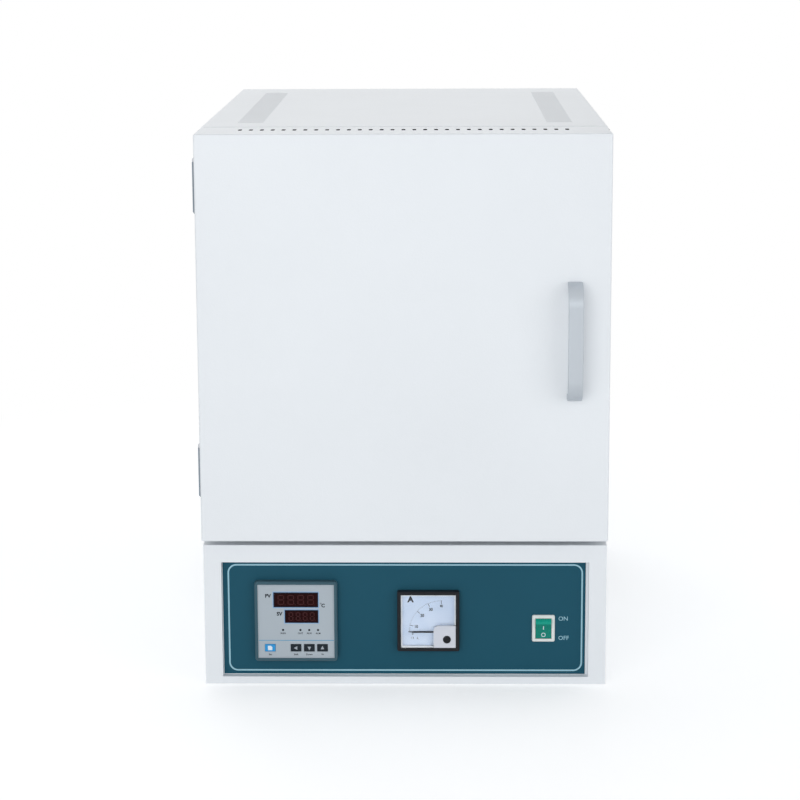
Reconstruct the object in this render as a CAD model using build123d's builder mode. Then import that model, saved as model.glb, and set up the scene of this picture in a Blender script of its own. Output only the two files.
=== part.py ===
from build123d import *

import math
import os

os.makedirs("parts", exist_ok=True)

# Box muffle furnace on a control box, with a door hung on its left side.
# Millimetres. X is to the right seen from the front, Y to the back, Z up.
# The origin is the middle of the base's rest face.

# Cabinet
body_width = 465.0
body_height = 643.0
base_depth = 623.0
box_height = 167.0
sheet = 1.5
flange = 12.0
fit = 0.3
running_fit = 0.05

# Door
door_lead = 17.0
door_depth = 82.0
door_gap = 9.0
seam = 4.0
door_bend = 2.0
door_air = 6.0
board_margin = 16.0
liner_sheet = 1.2

# Vent slots in the door's top face and in the cabinet top
door_slot_count = 31
door_slot_pitch = 12.28
door_slot_length = 15.0
door_slot_width = 4.4
door_slot_setback = 48.0
top_slot_length = 30.0
top_slot_width = 4.0
top_slot_pitch = 12.0
top_slot_count = 37
top_slot_inset = 52.5
top_slot_setback = 52.0

# Chamber and its lining
chamber_width = 200.0
chamber_height = 120.0
chamber_depth = 300.0
brick = 26.0
mouth_depth = 26.0
hearth_thick = 8.0
hearth_margin = 3.0
mouth_clear = 2.0
air_gap = 31.0
top_air = 51.0
stand_height = 72.0
wiring_space = 75.0
case_sheet = 1.2

# Heating elements in their grooves
coil_radius = 4.9
groove_radius = 5.3
groove_pitch = 26.0
groove_count = 4
groove_depth = 4.2
groove_end = 12.0
tail_radius = 1.6
tail_hole = 2.0
tail_reach = 44.0
bushing_radius = 8.0
bushing_length = 18.0
clamp_radius = 4.5
clamp_length = 12.0

# Thermocouple
sheath_radius = 4.0
sheath_reach = 38.0
sheath_drop = 16.0
head_radius = 17.0
head_length = 40.0
neck_length = 12.0
head_bevel = 4.0

# Plug, liner and gasket on the door
plug_clear = 4.0
plug_reach = 18.5
plug_taper = 5.0
plug_base_depth = 25.5
plug_shoulder = 1.0
plug_base_inset = 1.5
gasket_margin = 4.0
gasket_width = 14.0

# Bow handle
handle_inset = 40.5
handle_width = 16.7
handle_length = 135.0
handle_reach = 28.0
handle_thick = 7.0
handle_bore = 2.0
handle_bore_depth = 12.0

# Lift-off hinges
hinge_height = 58.0
hinge_top_inset = 40.0
hinge_low_inset = 32.5
knuckle_radius = 5.4
pin_radius = 2.5
leaf_thick = 5.0
leaf_width = 16.0
knuckle_gap = 0.4
pin_cap = 1.5

# Screws
screw_shank = 1.8
screw_hole = 2.1
screw_head = 3.6
screw_head_high = 1.8
screw_grip = 7.0
liner_screw_inset = 30.0

# Control panel in the window of the control box
window_width = 424.6
window_low = 8.5
window_top = 20.5
panel_recess = 9.0
panel_lap = 5.0
overlay_thick = 0.3
overlay_left = 0.8
overlay_right = 3.2
overlay_edge = 0.6

# Temperature controller
controller_x = -126.5
controller_drop = 2.5
controller_size = 96.0
controller_proud = 8.5
controller_rim = 3.6
controller_corner = 4.0
controller_body = 91.0
controller_cutout = 92.0
controller_depth = 80.0
face_recess = 1.2
face_thick = 1.5
face_ledge = 2.5
key_space = 3.2
display_proud = 0.2
display_thick = 2.6
pv_width = 52.0
pv_height = 18.0
pv_x = 0.0
pv_z = 26.0
sv_width = 39.0
sv_height = 15.6
sv_x = 6.5
sv_z = 6.0
key_width = 12.0
key_height = 8.6
key_z = -32.0
key_xs = {"set": -30.4, "left": -0.4, "down": 15.1, "up": 30.4}
key_proud = 0.7
key_lip = 1.0
key_lip_thick = 0.8
key_corner = 0.8

# Ammeter
meter_x = 27.0
meter_drop = 2.5
meter_size = 72.0
meter_proud = 8.0
meter_rim = 4.2
meter_can_radius = 31.0
meter_can_depth = 42.0
meter_corner = 2.0
dial_thick = 0.8
cover_thick = 1.5
pivot_x = 15.1
pivot_z = -14.0
needle_length = 38.6
needle_hub = 2.6
needle_thick = 0.4
needle_root = 1.4
needle_tip = 0.5
needle_shaft = 0.75
shroud_left = 6.0
shroud_top = -5.2
shroud_thick = 2.0
shroud_corner = 6.0
zero_x = 21.5
zero_z = -21.8
zero_radius = 4.6
zero_stem = 2.0
zero_slot = 0.9

# Rocker switch
switch_x = 160.6
switch_drop = 12.5
switch_width = 26.4
switch_height = 32.0
switch_proud = 2.5
switch_open_width = 18.8
switch_open_height = 24.6
switch_wall = 1.2
switch_depth = 24.0
rocker_radius = 11.9
rocker_rise = 5.0
rocker_middle = 2.7
rocker_back = 4.0
rocker_tilt = 10.0
rocker_side_gap = 0.3
trunnion_radius = 1.2
trunnion_length = 0.8
trunnion_fit = 0.1

# Safety switch, its plunger and the magnetic catch, beside the core
plunger_radius = 2.6
plunger_stroke = 3.0
plunger_guide = 11.0
switch_body_width = 13.0
switch_body_height = 34.0
switch_body_depth = 20.0
safety_drop = 60.0
catch_width = 13.0
catch_height = 48.0
catch_depth = 18.0
strike_thick = 1.2
strike_grow = 2.0

# Louvres and the electrical fittings in the control bay
louvre_length = 46.0
louvre_rise = 9.0
louvre_proud = 4.5
louvre_skin = 1.2
louvre_space = 8.0
louvre_pitch = 22.0
side_louvre_rows = 4
side_louvre_start = 60.0
side_louvre_low = 48.0
rear_louvre_low = 60.0
rear_louvre_high = 56.0
tray_slot_length = 60.0
tray_slot_width = 6.0
tray_slot_pitch = 24.0
tray_slot_rows = 8
service_slot_length = 60.0
service_slot_width = 5.0
service_slot_pitch = 11.0
service_slot_count = 15
sink_width = 110.0
sink_depth = 90.0
sink_base = 6.0
fin_height = 28.0
fin_thick = 2.0
fin_count = 13
module_width = 58.0
module_depth = 44.0
module_height = 22.0
block_width = 84.0
block_depth = 30.0
block_height = 26.0
gland_radius = 9.0
gland_across = 24.0
gland_inset = 82.5
gland_z = 62.0

# Places that follow from the sizes above
fascia_front = -base_depth / 2
fascia_back = fascia_front + sheet
rear_face = base_depth / 2
rear_inner = rear_face - sheet
door_front = fascia_front - door_lead
door_back = door_front + door_depth
body_front = door_back + seam
frame_back = body_front + sheet
side_inner = body_width / 2 - sheet
wrap_top = body_height - sheet
roof_under = box_height - sheet
door_bottom = box_height + door_gap
door_height = body_height - door_bottom
door_middle = door_bottom + door_height / 2

lining_half = chamber_width / 2 + brick
chamber_low = door_middle - chamber_height / 2
chamber_high = door_middle + chamber_height / 2
lining_low = chamber_low - brick
lining_high = chamber_high + brick
chamber_front = body_front + mouth_depth
chamber_back_face = chamber_front + chamber_depth
lining_rear = chamber_back_face + brick
core_half = side_inner - air_gap
core_low = box_height + stand_height + case_sheet
core_high = wrap_top - top_air
core_rear = rear_inner - wiring_space
case_rear = core_rear + case_sheet

panel_face = fascia_front + panel_recess
panel_back = panel_face + sheet
overlay_face = panel_face - overlay_thick
window_height = box_height - window_low - window_top
window_middle = window_low + window_height / 2
controller_z = window_middle - controller_drop
meter_z = window_middle - meter_drop
switch_z = window_middle - switch_drop
gland_x = body_width / 2 - gland_inset

hinge_x = -body_width / 2 - knuckle_radius - fit
hinge_y = (door_back + body_front) / 2
hinge_heights = (
    body_height - hinge_top_inset - hinge_height / 2,
    door_bottom + hinge_low_inset + hinge_height / 2,
)
handle_x = body_width / 2 - handle_inset
handle_screw_z = handle_length / 2 - handle_thick / 2
beside_core_x = (core_half + case_sheet + side_inner - flange) / 2
safety_z = core_high - safety_drop


def facing_front(y):
    """A plane at depth y that looks out of the front, X right and Z up."""
    return Plane.XZ.offset(-y)


def board(x_low, x_high, y_low, y_high, z_low, z_high, mode=Mode.ADD):
    """A flat board between its limits, in the builder that is open."""
    middle = ((x_low + x_high) / 2, (y_low + y_high) / 2, (z_low + z_high) / 2)
    with Locations(middle):
        Box(x_high - x_low, y_high - y_low, z_high - z_low, mode=mode)


def round_bar(start, direction, radius, length, mode=Mode.ADD):
    """A round bar or bore from a start point along a direction."""
    with BuildSketch(Plane(origin=start, z_dir=direction)) as section:
        Circle(radius)
    extrude(section.sketch, amount=length, mode=mode)


def screw(seat, inward):
    """A pan-head screw whose head lies on its seat and points inward."""
    round_bar(seat, inward, screw_shank, screw_grip)
    outward = tuple(-part for part in inward)
    round_bar(seat, outward, screw_head, screw_head_high)


def louvre(place, out, along):
    """A pressed louvre: a hood with closed ends that opens downwards."""
    plane = Plane(origin=place, x_dir=out, z_dir=along)
    for reach, rise, length, mode in (
        (louvre_proud, louvre_rise, louvre_length, Mode.ADD),
        (
            louvre_proud - louvre_skin,
            louvre_rise - louvre_skin,
            louvre_length - 2 * louvre_skin,
            Mode.SUBTRACT,
        ),
    ):
        back = -sheet / 2 if mode == Mode.ADD else -sheet
        with BuildSketch(plane) as hood:
            with BuildLine():
                Line((back, 0), (reach, 0))
                ThreePointArc((reach, 0), (reach * 0.72, rise * 0.72), (0, rise))
                Polyline((0, rise), (back, rise), (back, 0))
            make_face()
        extrude(hood.sketch, amount=length / 2, both=True, mode=mode)


# Places of the screws, each on its own face
rear_screw_places = [
    (side * (side_inner - flange / 2), z)
    for side in (-1, 1)
    for z in (
        box_height + flange,
        (box_height + wrap_top) / 2,
        wrap_top - flange,
    )
]
service_screw_places = [
    (side * (side_inner - flange / 2), z)
    for side in (-1, 1)
    for z in (2 * flange, box_height - 2 * flange)
]
hinge_screw_rise = hinge_height / 2 - 9.0
body_leaf_y = hinge_y + leaf_width * 0.62
door_leaf_y = hinge_y - leaf_width * 0.62
liner_screw_places = [
    (side * (side_inner - flange / 2), z)
    for side in (-1, 1)
    for z in (
        door_bottom + liner_screw_inset,
        chamber_low,
        chamber_high,
        body_height - liner_screw_inset,
    )
]

# Base tray: floor with upturned edges and two rows of air slots
with BuildPart() as base_tray:
    tray_front = fascia_back + flange
    tray_middle = (tray_front + rear_inner) / 2
    with BuildSketch():
        with Locations((0, tray_middle)):
            Rectangle(2 * side_inner, rear_inner - tray_front)
    extrude(amount=sheet)
    with BuildSketch(Plane.XY.offset(sheet)):
        with Locations((0, tray_middle)):
            Rectangle(2 * side_inner, rear_inner - tray_front)
            Rectangle(
                2 * side_inner - 2 * sheet,
                rear_inner - tray_front - 2 * sheet,
                mode=Mode.SUBTRACT,
            )
    extrude(amount=flange)
    with BuildSketch():
        with Locations((0, tray_middle)):
            with GridLocations(sink_width, 0, 2, 1):
                with GridLocations(0, tray_slot_pitch, 1, tray_slot_rows):
                    Rectangle(tray_slot_length, tray_slot_width)
    extrude(amount=sheet, mode=Mode.SUBTRACT)
base_tray.part.label = "base_tray"
export_step(base_tray.part, "parts/base_tray.step")

# Side panel: one sheet with a forward foot beside the control box
with BuildPart() as side_panel_right:
    with BuildSketch(Plane.YZ.offset(side_inner)):
        with BuildLine():
            Polyline(
                (fascia_back, 0),
                (rear_face, 0),
                (rear_face, wrap_top),
                (body_front, wrap_top),
                (body_front, box_height),
                (fascia_back, box_height),
                close=True,
            )
        make_face()
    extrude(amount=sheet)
    flange_x = side_inner - flange
    board(flange_x, side_inner, frame_back, frame_back + sheet, box_height, wrap_top)
    board(flange_x, side_inner, rear_inner - sheet, rear_inner, flange + sheet, roof_under)
    board(flange_x, side_inner, rear_inner - sheet, rear_inner, box_height, wrap_top)
    board(
        flange_x,
        side_inner,
        frame_back + sheet,
        rear_inner - sheet,
        wrap_top - sheet,
        wrap_top,
    )
    for rank in range(4):
        for row in range(side_louvre_rows):
            louvre_y = side_louvre_start + rank * (louvre_length + louvre_space)
            louvre_z = side_louvre_low + row * louvre_pitch
            louvre((side_inner + sheet, louvre_y, louvre_z), (1, 0, 0), (0, -1, 0))
    for places in (rear_screw_places, service_screw_places):
        for x, z in places:
            if x > 0:
                round_bar((x, rear_face, z), (0, -1, 0), screw_hole, screw_grip, Mode.SUBTRACT)
side_panel_right.part.label = "side_panel_right"
export_step(side_panel_right.part, "parts/side_panel_right.step")

with BuildPart() as side_panel_left:
    mirror(side_panel_right.part, about=Plane.YZ)
    for height in hinge_heights:
        for step in (-hinge_screw_rise, hinge_screw_rise):
            round_bar(
                (-body_width / 2, body_leaf_y, height + step),
                (1, 0, 0),
                screw_hole,
                2 * sheet,
                Mode.SUBTRACT,
            )
side_panel_left.part.label = "side_panel_left"
export_step(side_panel_left.part, "parts/side_panel_left.step")

# Cabinet top with two vented strips over the air gap beside the core
with BuildPart() as top_panel:
    board(-body_width / 2, body_width / 2, body_front, rear_face, wrap_top, body_height)
    long_edges = top_panel.edges().filter_by(Axis.Y).group_by(Axis.Z)[-1]
    fillet(long_edges, radius=0.8 * sheet)
    strip_middle = body_front + top_slot_setback + top_slot_pitch * (top_slot_count - 1) / 2
    with BuildSketch(Plane.XY.offset(body_height)):
        with Locations((0, strip_middle)):
            with GridLocations(
                body_width - 2 * top_slot_inset, top_slot_pitch, 2, top_slot_count
            ):
                Rectangle(top_slot_length, top_slot_width)
    extrude(amount=-sheet, mode=Mode.SUBTRACT)
top_panel.part.label = "top_panel"
export_step(top_panel.part, "parts/top_panel.step")

# Rear panel, with louvres high and low for the air round the core
with BuildPart() as rear_panel:
    board(-side_inner + fit, side_inner - fit, rear_inner, rear_face, box_height, wrap_top)
    for level in (
        box_height + rear_louvre_low,
        box_height + rear_louvre_low + louvre_pitch,
        wrap_top - rear_louvre_high - louvre_pitch,
        wrap_top - rear_louvre_high,
    ):
        for column in (-1.5, -0.5, 0.5, 1.5):
            louvre_x = column * (louvre_length + louvre_space)
            louvre((louvre_x, rear_face, level), (0, 1, 0), (1, 0, 0))
    for x, z in rear_screw_places:
        round_bar((x, rear_face, z), (0, -1, 0), screw_hole, sheet, Mode.SUBTRACT)
rear_panel.part.label = "rear_panel"
export_step(rear_panel.part, "parts/rear_panel.step")

# Lower service cover with its air slots and the hole for the gland
with BuildPart() as service_cover:
    board(-side_inner + fit, side_inner - fit, rear_inner, rear_face, 0, box_height - fit)
    with BuildSketch(facing_front(rear_face)):
        with Locations((-gland_x / 3, box_height / 2)):
            with GridLocations(service_slot_pitch, 0, service_slot_count, 1):
                SlotOverall(service_slot_length, service_slot_width, rotation=90)
    extrude(amount=sheet, mode=Mode.SUBTRACT)
    round_bar(
        (gland_x, rear_face, gland_z), (0, -1, 0), gland_radius + fit, sheet, Mode.SUBTRACT
    )
    for x, z in service_screw_places:
        round_bar((x, rear_face, z), (0, -1, 0), screw_hole, sheet, Mode.SUBTRACT)
service_cover.part.label = "service_cover"
export_step(service_cover.part, "parts/service_cover.step")

# Roof of the control box, which juts out under the door and carries the core
with BuildPart() as bay_roof:
    board(-side_inner, side_inner, fascia_back, rear_inner, roof_under, box_height)
    with BuildSketch(Plane.XY.offset(box_height)):
        with Locations((0, (case_rear + rear_inner) / 2)):
            with GridLocations(2 * lining_half, 0, 2, 1):
                Circle(wiring_space / 6)
    extrude(amount=-sheet, mode=Mode.SUBTRACT)
bay_roof.part.label = "bay_roof"
export_step(bay_roof.part, "parts/bay_roof.step")

# White front of the control box, with a folded lip round its window
with BuildPart() as control_fascia:
    with BuildSketch(facing_front(fascia_back)):
        with Locations((0, box_height / 2)):
            Rectangle(body_width, box_height)
        with Locations((0, window_middle)):
            Rectangle(window_width, window_height, mode=Mode.SUBTRACT)
    extrude(amount=sheet)
    with BuildSketch(facing_front(panel_face)):
        with Locations((0, window_middle)):
            Rectangle(window_width + 2 * sheet, window_height + 2 * sheet)
            Rectangle(window_width, window_height, mode=Mode.SUBTRACT)
    extrude(amount=panel_face - fascia_back)
    with BuildSketch(facing_front(fascia_back + flange)):
        with Locations((0, roof_under / 2)):
            Rectangle(2 * side_inner, roof_under)
            Rectangle(2 * side_inner - 2 * sheet, roof_under - 2 * sheet, mode=Mode.SUBTRACT)
    extrude(amount=flange)
control_fascia.part.label = "control_fascia"
export_step(control_fascia.part, "parts/control_fascia.step")

# Steel front of the furnace body round the chamber's mouth
with BuildPart() as front_frame:
    with BuildSketch(facing_front(frame_back)):
        with Locations((0, (box_height + wrap_top) / 2)):
            Rectangle(2 * side_inner, wrap_top - box_height)
        with Locations((0, door_middle)):
            Rectangle(
                2 * (lining_half + mouth_clear),
                chamber_height + 2 * (brick + mouth_clear),
                mode=Mode.SUBTRACT,
            )
            with Locations((beside_core_x, 0)):
                Rectangle(catch_width + 2 * fit, catch_height + 2 * fit, mode=Mode.SUBTRACT)
        with Locations((beside_core_x, safety_z)):
            Circle(plunger_radius + fit, mode=Mode.SUBTRACT)
    extrude(amount=sheet)
front_frame.part.label = "front_frame"
export_step(front_frame.part, "parts/front_frame.step")

# Four refractory bricks round the mouth: sill, lintel and two jambs
with BuildPart() as mouth_bricks:
    for low, high in ((lining_low, chamber_low), (chamber_high, lining_high)):
        board(-lining_half, lining_half, body_front, chamber_front, low, high)
    for low, high in (
        (-lining_half, -chamber_width / 2),
        (chamber_width / 2, lining_half),
    ):
        board(low, high, body_front, chamber_front, chamber_low + fit, chamber_high - fit)
mouth_bricks.part.label = "mouth_bricks"
export_step(mouth_bricks.part, "parts/mouth_bricks.step")

with BuildPart() as chamber_floor:
    board(-lining_half, lining_half, chamber_front, lining_rear, lining_low, chamber_low)
chamber_floor.part.label = "chamber_floor"
export_step(chamber_floor.part, "parts/chamber_floor.step")

with BuildPart() as chamber_roof:
    board(-lining_half, lining_half, chamber_front, lining_rear, chamber_high, lining_high)
chamber_roof.part.label = "chamber_roof"
export_step(chamber_roof.part, "parts/chamber_roof.step")

sheath_z = chamber_high - sheath_drop
with BuildPart() as chamber_back:
    board(
        -chamber_width / 2,
        chamber_width / 2,
        chamber_back_face,
        lining_rear,
        chamber_low,
        chamber_high,
    )
    round_bar(
        (0, chamber_back_face, sheath_z), (0, 1, 0), sheath_radius + fit, brick, Mode.SUBTRACT
    )
chamber_back.part.label = "chamber_back"
export_step(chamber_back.part, "parts/chamber_back.step")

# The element runs up and down four grooves in each side of the chamber
groove_x = chamber_width / 2 + groove_depth
run_front = chamber_front + groove_end + groove_pitch / 2
run_rear = chamber_back_face - groove_end
groove_heights = [
    door_middle + (rank - (groove_count - 1) / 2) * groove_pitch for rank in range(groove_count)
]
tail_heights = (groove_heights[0], groove_heights[-1])


def serpentine():
    """The element's line on a side plane: runs joined by half-round turns."""
    turns_rear = run_rear - groove_pitch / 2
    Line((run_rear, groove_heights[0]), (run_front, groove_heights[0]))
    for rank in range(groove_count - 1):
        low = groove_heights[rank]
        high = groove_heights[rank + 1]
        at_front = rank % 2 == 0
        turn_y = run_front if at_front else turns_rear
        bulge = -groove_pitch / 2 if at_front else groove_pitch / 2
        ThreePointArc((turn_y, low), (turn_y + bulge, (low + high) / 2), (turn_y, high))
        last = rank == groove_count - 2
        start = run_front if at_front else turns_rear
        end = run_rear if last else (turns_rear if at_front else run_front)
        Line((start, high), (end, high))


with BuildPart() as element_plate:
    board(
        chamber_width / 2,
        lining_half,
        chamber_front,
        lining_rear,
        chamber_low,
        chamber_high,
    )
    with BuildLine(Plane.YZ.offset(groove_x)) as groove_line:
        serpentine()
    with BuildSketch(facing_front(run_rear)):
        with Locations((groove_x, groove_heights[0])):
            Circle(groove_radius)
    sweep(path=groove_line.wires()[0], mode=Mode.SUBTRACT)
    for height in tail_heights:
        round_bar(
            (groove_x, run_rear - fit, height),
            (0, 1, 0),
            tail_hole,
            lining_rear - run_rear + 2 * fit,
            Mode.SUBTRACT,
        )

with BuildPart() as element_plates:
    add(element_plate.part)
    mirror(element_plate.part, about=Plane.YZ)
element_plates.part.label = "element_plates"
export_step(element_plates.part, "parts/element_plates.step")

with BuildPart() as element:
    with BuildLine(Plane.YZ.offset(groove_x)) as element_line:
        serpentine()
    with BuildSketch(facing_front(run_rear)):
        with Locations((groove_x, groove_heights[0])):
            Circle(coil_radius)
    sweep(path=element_line.wires()[0])
    for height in tail_heights:
        round_bar(
            (groove_x, run_rear - fit, height),
            (0, 1, 0),
            tail_radius,
            case_rear + tail_reach - run_rear,
        )

with BuildPart() as heating_elements:
    add(element.part)
    mirror(element.part, about=Plane.YZ)
heating_elements.part.label = "heating_elements"
export_step(heating_elements.part, "parts/heating_elements.step")

# Hearth plate, loose on the chamber floor
hearth_top = chamber_low + hearth_thick
with BuildPart() as hearth_plate:
    board(
        -chamber_width / 2 + hearth_margin,
        chamber_width / 2 - hearth_margin,
        chamber_front + hearth_margin,
        chamber_back_face - hearth_margin,
        chamber_low,
        hearth_top,
    )
    fillet(hearth_plate.edges().filter_by(Axis.Z), radius=hearth_margin)
    chamfer(hearth_plate.edges().group_by(Axis.Z)[-1], length=hearth_margin / 3)
hearth_plate.part.label = "hearth_plate"
export_step(hearth_plate.part, "parts/hearth_plate.step")

# Insulation boards: bottom, top, two sides and rear
with BuildPart() as insulation_boards:
    board(-core_half, core_half, frame_back, core_rear, core_low, lining_low)
    board(-core_half, core_half, frame_back, core_rear, lining_high, core_high)
    for side in (-1, 1):
        near = side * (lining_half + fit)
        far = side * core_half
        board(
            min(near, far),
            max(near, far),
            frame_back,
            core_rear,
            lining_low + fit,
            lining_high - fit,
        )
    board(
        -lining_half,
        lining_half,
        lining_rear,
        core_rear,
        lining_low + fit,
        lining_high - fit,
    )
    round_bar(
        (0, lining_rear, sheath_z),
        (0, 1, 0),
        sheath_radius + fit,
        core_rear - lining_rear,
        Mode.SUBTRACT,
    )
    for side in (-1, 1):
        for height in tail_heights:
            round_bar(
                (side * groove_x, lining_rear, height),
                (0, 1, 0),
                tail_hole,
                core_rear - lining_rear,
                Mode.SUBTRACT,
            )
insulation_boards.part.label = "insulation_boards"
export_step(insulation_boards.part, "parts/insulation_boards.step")

# Inner steel case round the insulation, open at the front
with BuildPart() as core_case:
    board(
        -core_half - case_sheet,
        core_half + case_sheet,
        frame_back,
        case_rear,
        core_low - case_sheet,
        core_high + case_sheet,
    )
    board(-core_half, core_half, frame_back, core_rear, core_low, core_high, Mode.SUBTRACT)
    with BuildSketch(facing_front(case_rear)):
        with Locations((0, sheath_z)):
            Circle(sheath_radius + fit)
        for side in (-1, 1):
            for height in tail_heights:
                with Locations((side * groove_x, height)):
                    Circle(tail_hole)
    extrude(amount=case_sheet, mode=Mode.SUBTRACT)
core_case.part.label = "core_case"
export_step(core_case.part, "parts/core_case.step")

# Two channel stands carry the case on the control box's roof
with BuildPart() as core_stands:
    with BuildSketch(facing_front(core_rear)):
        for side in (-1, 1):
            with Locations((side * lining_half, box_height + stand_height / 2)):
                Rectangle(flange * 3, stand_height)
                with Locations((side * sheet, 0)):
                    Rectangle(flange * 3, stand_height - 2 * sheet, mode=Mode.SUBTRACT)
    extrude(amount=core_rear - frame_back - flange)
core_stands.part.label = "core_stands"
export_step(core_stands.part, "parts/core_stands.step")

# Thermocouple: round-ended sheath through the rear wall, in a flanged head
sheath_tip = chamber_back_face - sheath_reach
head_start = case_rear + neck_length
with BuildPart() as thermocouple_head:
    with BuildSketch(Plane.YZ):
        with BuildLine():
            Polyline(
                (case_rear, sheath_z),
                (case_rear, sheath_z + head_radius),
                (case_rear + sheet, sheath_z + head_radius),
                (case_rear + sheet, sheath_z + 2 * sheath_radius),
                (head_start, sheath_z + 2 * sheath_radius),
                (head_start, sheath_z + head_radius),
                (head_start + head_length - head_bevel, sheath_z + head_radius),
                (head_start + head_length, sheath_z + head_radius - head_bevel),
                (head_start + head_length, sheath_z),
                close=True,
            )
        make_face()
    revolve(axis=Axis((0, 0, sheath_z), (0, 1, 0)))
    round_bar(
        (0, case_rear, sheath_z),
        (0, 1, 0),
        sheath_radius + running_fit,
        neck_length,
        Mode.SUBTRACT,
    )

with BuildPart() as thermocouple:
    add(thermocouple_head.part)
    round_bar((0, sheath_tip, sheath_z), (0, 1, 0), sheath_radius, head_start - sheath_tip - fit)
    fillet(
        thermocouple.edges().filter_by(GeomType.CIRCLE).sort_by(Axis.Y)[0],
        radius=sheath_radius * 0.9,
    )
thermocouple.part.label = "thermocouple"
export_step(thermocouple.part, "parts/thermocouple.step")

# Porcelain bushings on the case's rear and the brass clamps behind them
tail_places = [(side * groove_x, height) for side in (-1, 1) for height in tail_heights]
with BuildPart() as element_bushings:
    for x, z in tail_places:
        round_bar((x, case_rear, z), (0, 1, 0), bushing_radius, bushing_length / 3)
        round_bar((x, case_rear, z), (0, 1, 0), bushing_radius * 0.7, bushing_length)
        round_bar((x, case_rear, z), (0, 1, 0), tail_hole, bushing_length, Mode.SUBTRACT)
element_bushings.part.label = "element_bushings"
export_step(element_bushings.part, "parts/element_bushings.step")

with BuildPart() as element_clamps:
    clamp_start = case_rear + bushing_length + fit
    for x, z in tail_places:
        with BuildSketch(Plane(origin=(x, clamp_start, z), z_dir=(0, 1, 0))):
            RegularPolygon(clamp_radius, 6)
            Circle(tail_hole, mode=Mode.SUBTRACT)
        extrude(amount=clamp_length)
element_clamps.part.label = "element_clamps"
export_step(element_clamps.part, "parts/element_clamps.step")

# Lift-off hinges: leaves on the side faces, knuckles round a pin at the seam
split_gap = knuckle_gap / 2


def hinge_leaf(height, away, knuckle_low, knuckle_high, other_low, other_high, bore):
    """One leaf: a plate on the side face, cut round the other half's knuckle."""
    near_y = hinge_y + away * 0.6
    far_y = hinge_y + away * leaf_width
    board(
        -body_width / 2 - leaf_thick,
        -body_width / 2,
        min(near_y, far_y),
        max(near_y, far_y),
        height - hinge_height / 2,
        height + hinge_height / 2,
    )
    round_bar(
        (hinge_x, hinge_y, other_low),
        (0, 0, 1),
        knuckle_radius + knuckle_gap,
        other_high - other_low,
        Mode.SUBTRACT,
    )
    round_bar(
        (hinge_x, hinge_y, knuckle_low),
        (0, 0, 1),
        knuckle_radius,
        knuckle_high - knuckle_low,
    )
    round_bar(
        (hinge_x, hinge_y, knuckle_low),
        (0, 0, 1),
        bore,
        knuckle_high - knuckle_low,
        Mode.SUBTRACT,
    )
    leaf_y = body_leaf_y if away > 0 else door_leaf_y
    for step in (-hinge_screw_rise, hinge_screw_rise):
        round_bar(
            (-body_width / 2 - leaf_thick, leaf_y, height + step),
            (1, 0, 0),
            screw_hole,
            leaf_thick,
            Mode.SUBTRACT,
        )


body_leaves = []
door_leaves = []
for height in hinge_heights:
    low = height - hinge_height / 2
    high = height + hinge_height / 2
    with BuildPart() as hinge_part:
        hinge_leaf(
            height, 1, low, height - split_gap, height - split_gap, high, pin_radius + 0.02
        )
    body_leaves.append(hinge_part.part)
    with BuildPart() as hinge_part:
        hinge_leaf(
            height,
            -1,
            height + split_gap,
            high,
            low,
            height + split_gap,
            pin_radius + running_fit,
        )
    door_leaves.append(hinge_part.part)

with BuildPart() as hinge_body_leaves:
    add(body_leaves)
hinge_body_leaves.part.label = "hinge_body_leaves"
export_step(hinge_body_leaves.part, "parts/hinge_body_leaves.step")

with BuildPart() as hinge_door_leaves:
    add(door_leaves)
hinge_door_leaves.part.label = "hinge_door_leaves"
export_step(hinge_door_leaves.part, "parts/hinge_door_leaves.step")

with BuildPart() as hinge_pins:
    for height in hinge_heights:
        low = height - hinge_height / 2
        round_bar((hinge_x, hinge_y, low), (0, 0, 1), pin_radius, hinge_height)
        round_bar(
            (hinge_x, hinge_y, low - pin_cap), (0, 0, 1), knuckle_radius * 0.8, pin_cap
        )
    chamfer(
        hinge_pins.edges().filter_by(GeomType.CIRCLE).group_by(Axis.Z)[-1], length=0.5
    )
hinge_pins.part.label = "hinge_pins"
export_step(hinge_pins.part, "parts/hinge_pins.step")

# Screws of the cabinet: rear panel, service cover, hinge leaves and earth point
with BuildPart() as cabinet_screws:
    for places in (rear_screw_places, service_screw_places):
        for x, z in places:
            screw((x, rear_face, z), (0, -1, 0))
    for height in hinge_heights:
        for step in (-hinge_screw_rise, hinge_screw_rise):
            screw((-body_width / 2 - leaf_thick, body_leaf_y, height + step), (1, 0, 0))
cabinet_screws.part.label = "cabinet_screws"
export_step(cabinet_screws.part, "parts/cabinet_screws.step")

# Magnetic catch and the door safety switch, behind the front frame
with BuildPart() as magnetic_catch:
    catch_face = door_back + strike_thick + fit
    board(
        beside_core_x - catch_width / 2,
        beside_core_x + catch_width / 2,
        catch_face,
        frame_back + catch_depth,
        door_middle - catch_height / 2,
        door_middle + catch_height / 2,
    )
    fillet(magnetic_catch.edges().filter_by(Axis.Y), radius=1.5)
magnetic_catch.part.label = "magnetic_catch"
export_step(magnetic_catch.part, "parts/magnetic_catch.step")

with BuildPart() as safety_switch:
    board(
        beside_core_x - switch_body_width / 2,
        beside_core_x + switch_body_width / 2,
        frame_back,
        frame_back + switch_body_depth,
        safety_z - switch_body_height / 2,
        safety_z + switch_body_height / 2,
    )
    fillet(safety_switch.edges().filter_by(Axis.Y), radius=1.5)
    round_bar(
        (beside_core_x, frame_back, safety_z),
        (0, 1, 0),
        plunger_radius + running_fit,
        plunger_guide + plunger_stroke,
        Mode.SUBTRACT,
    )
safety_switch.part.label = "safety_switch"
export_step(safety_switch.part, "parts/safety_switch.step")

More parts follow.
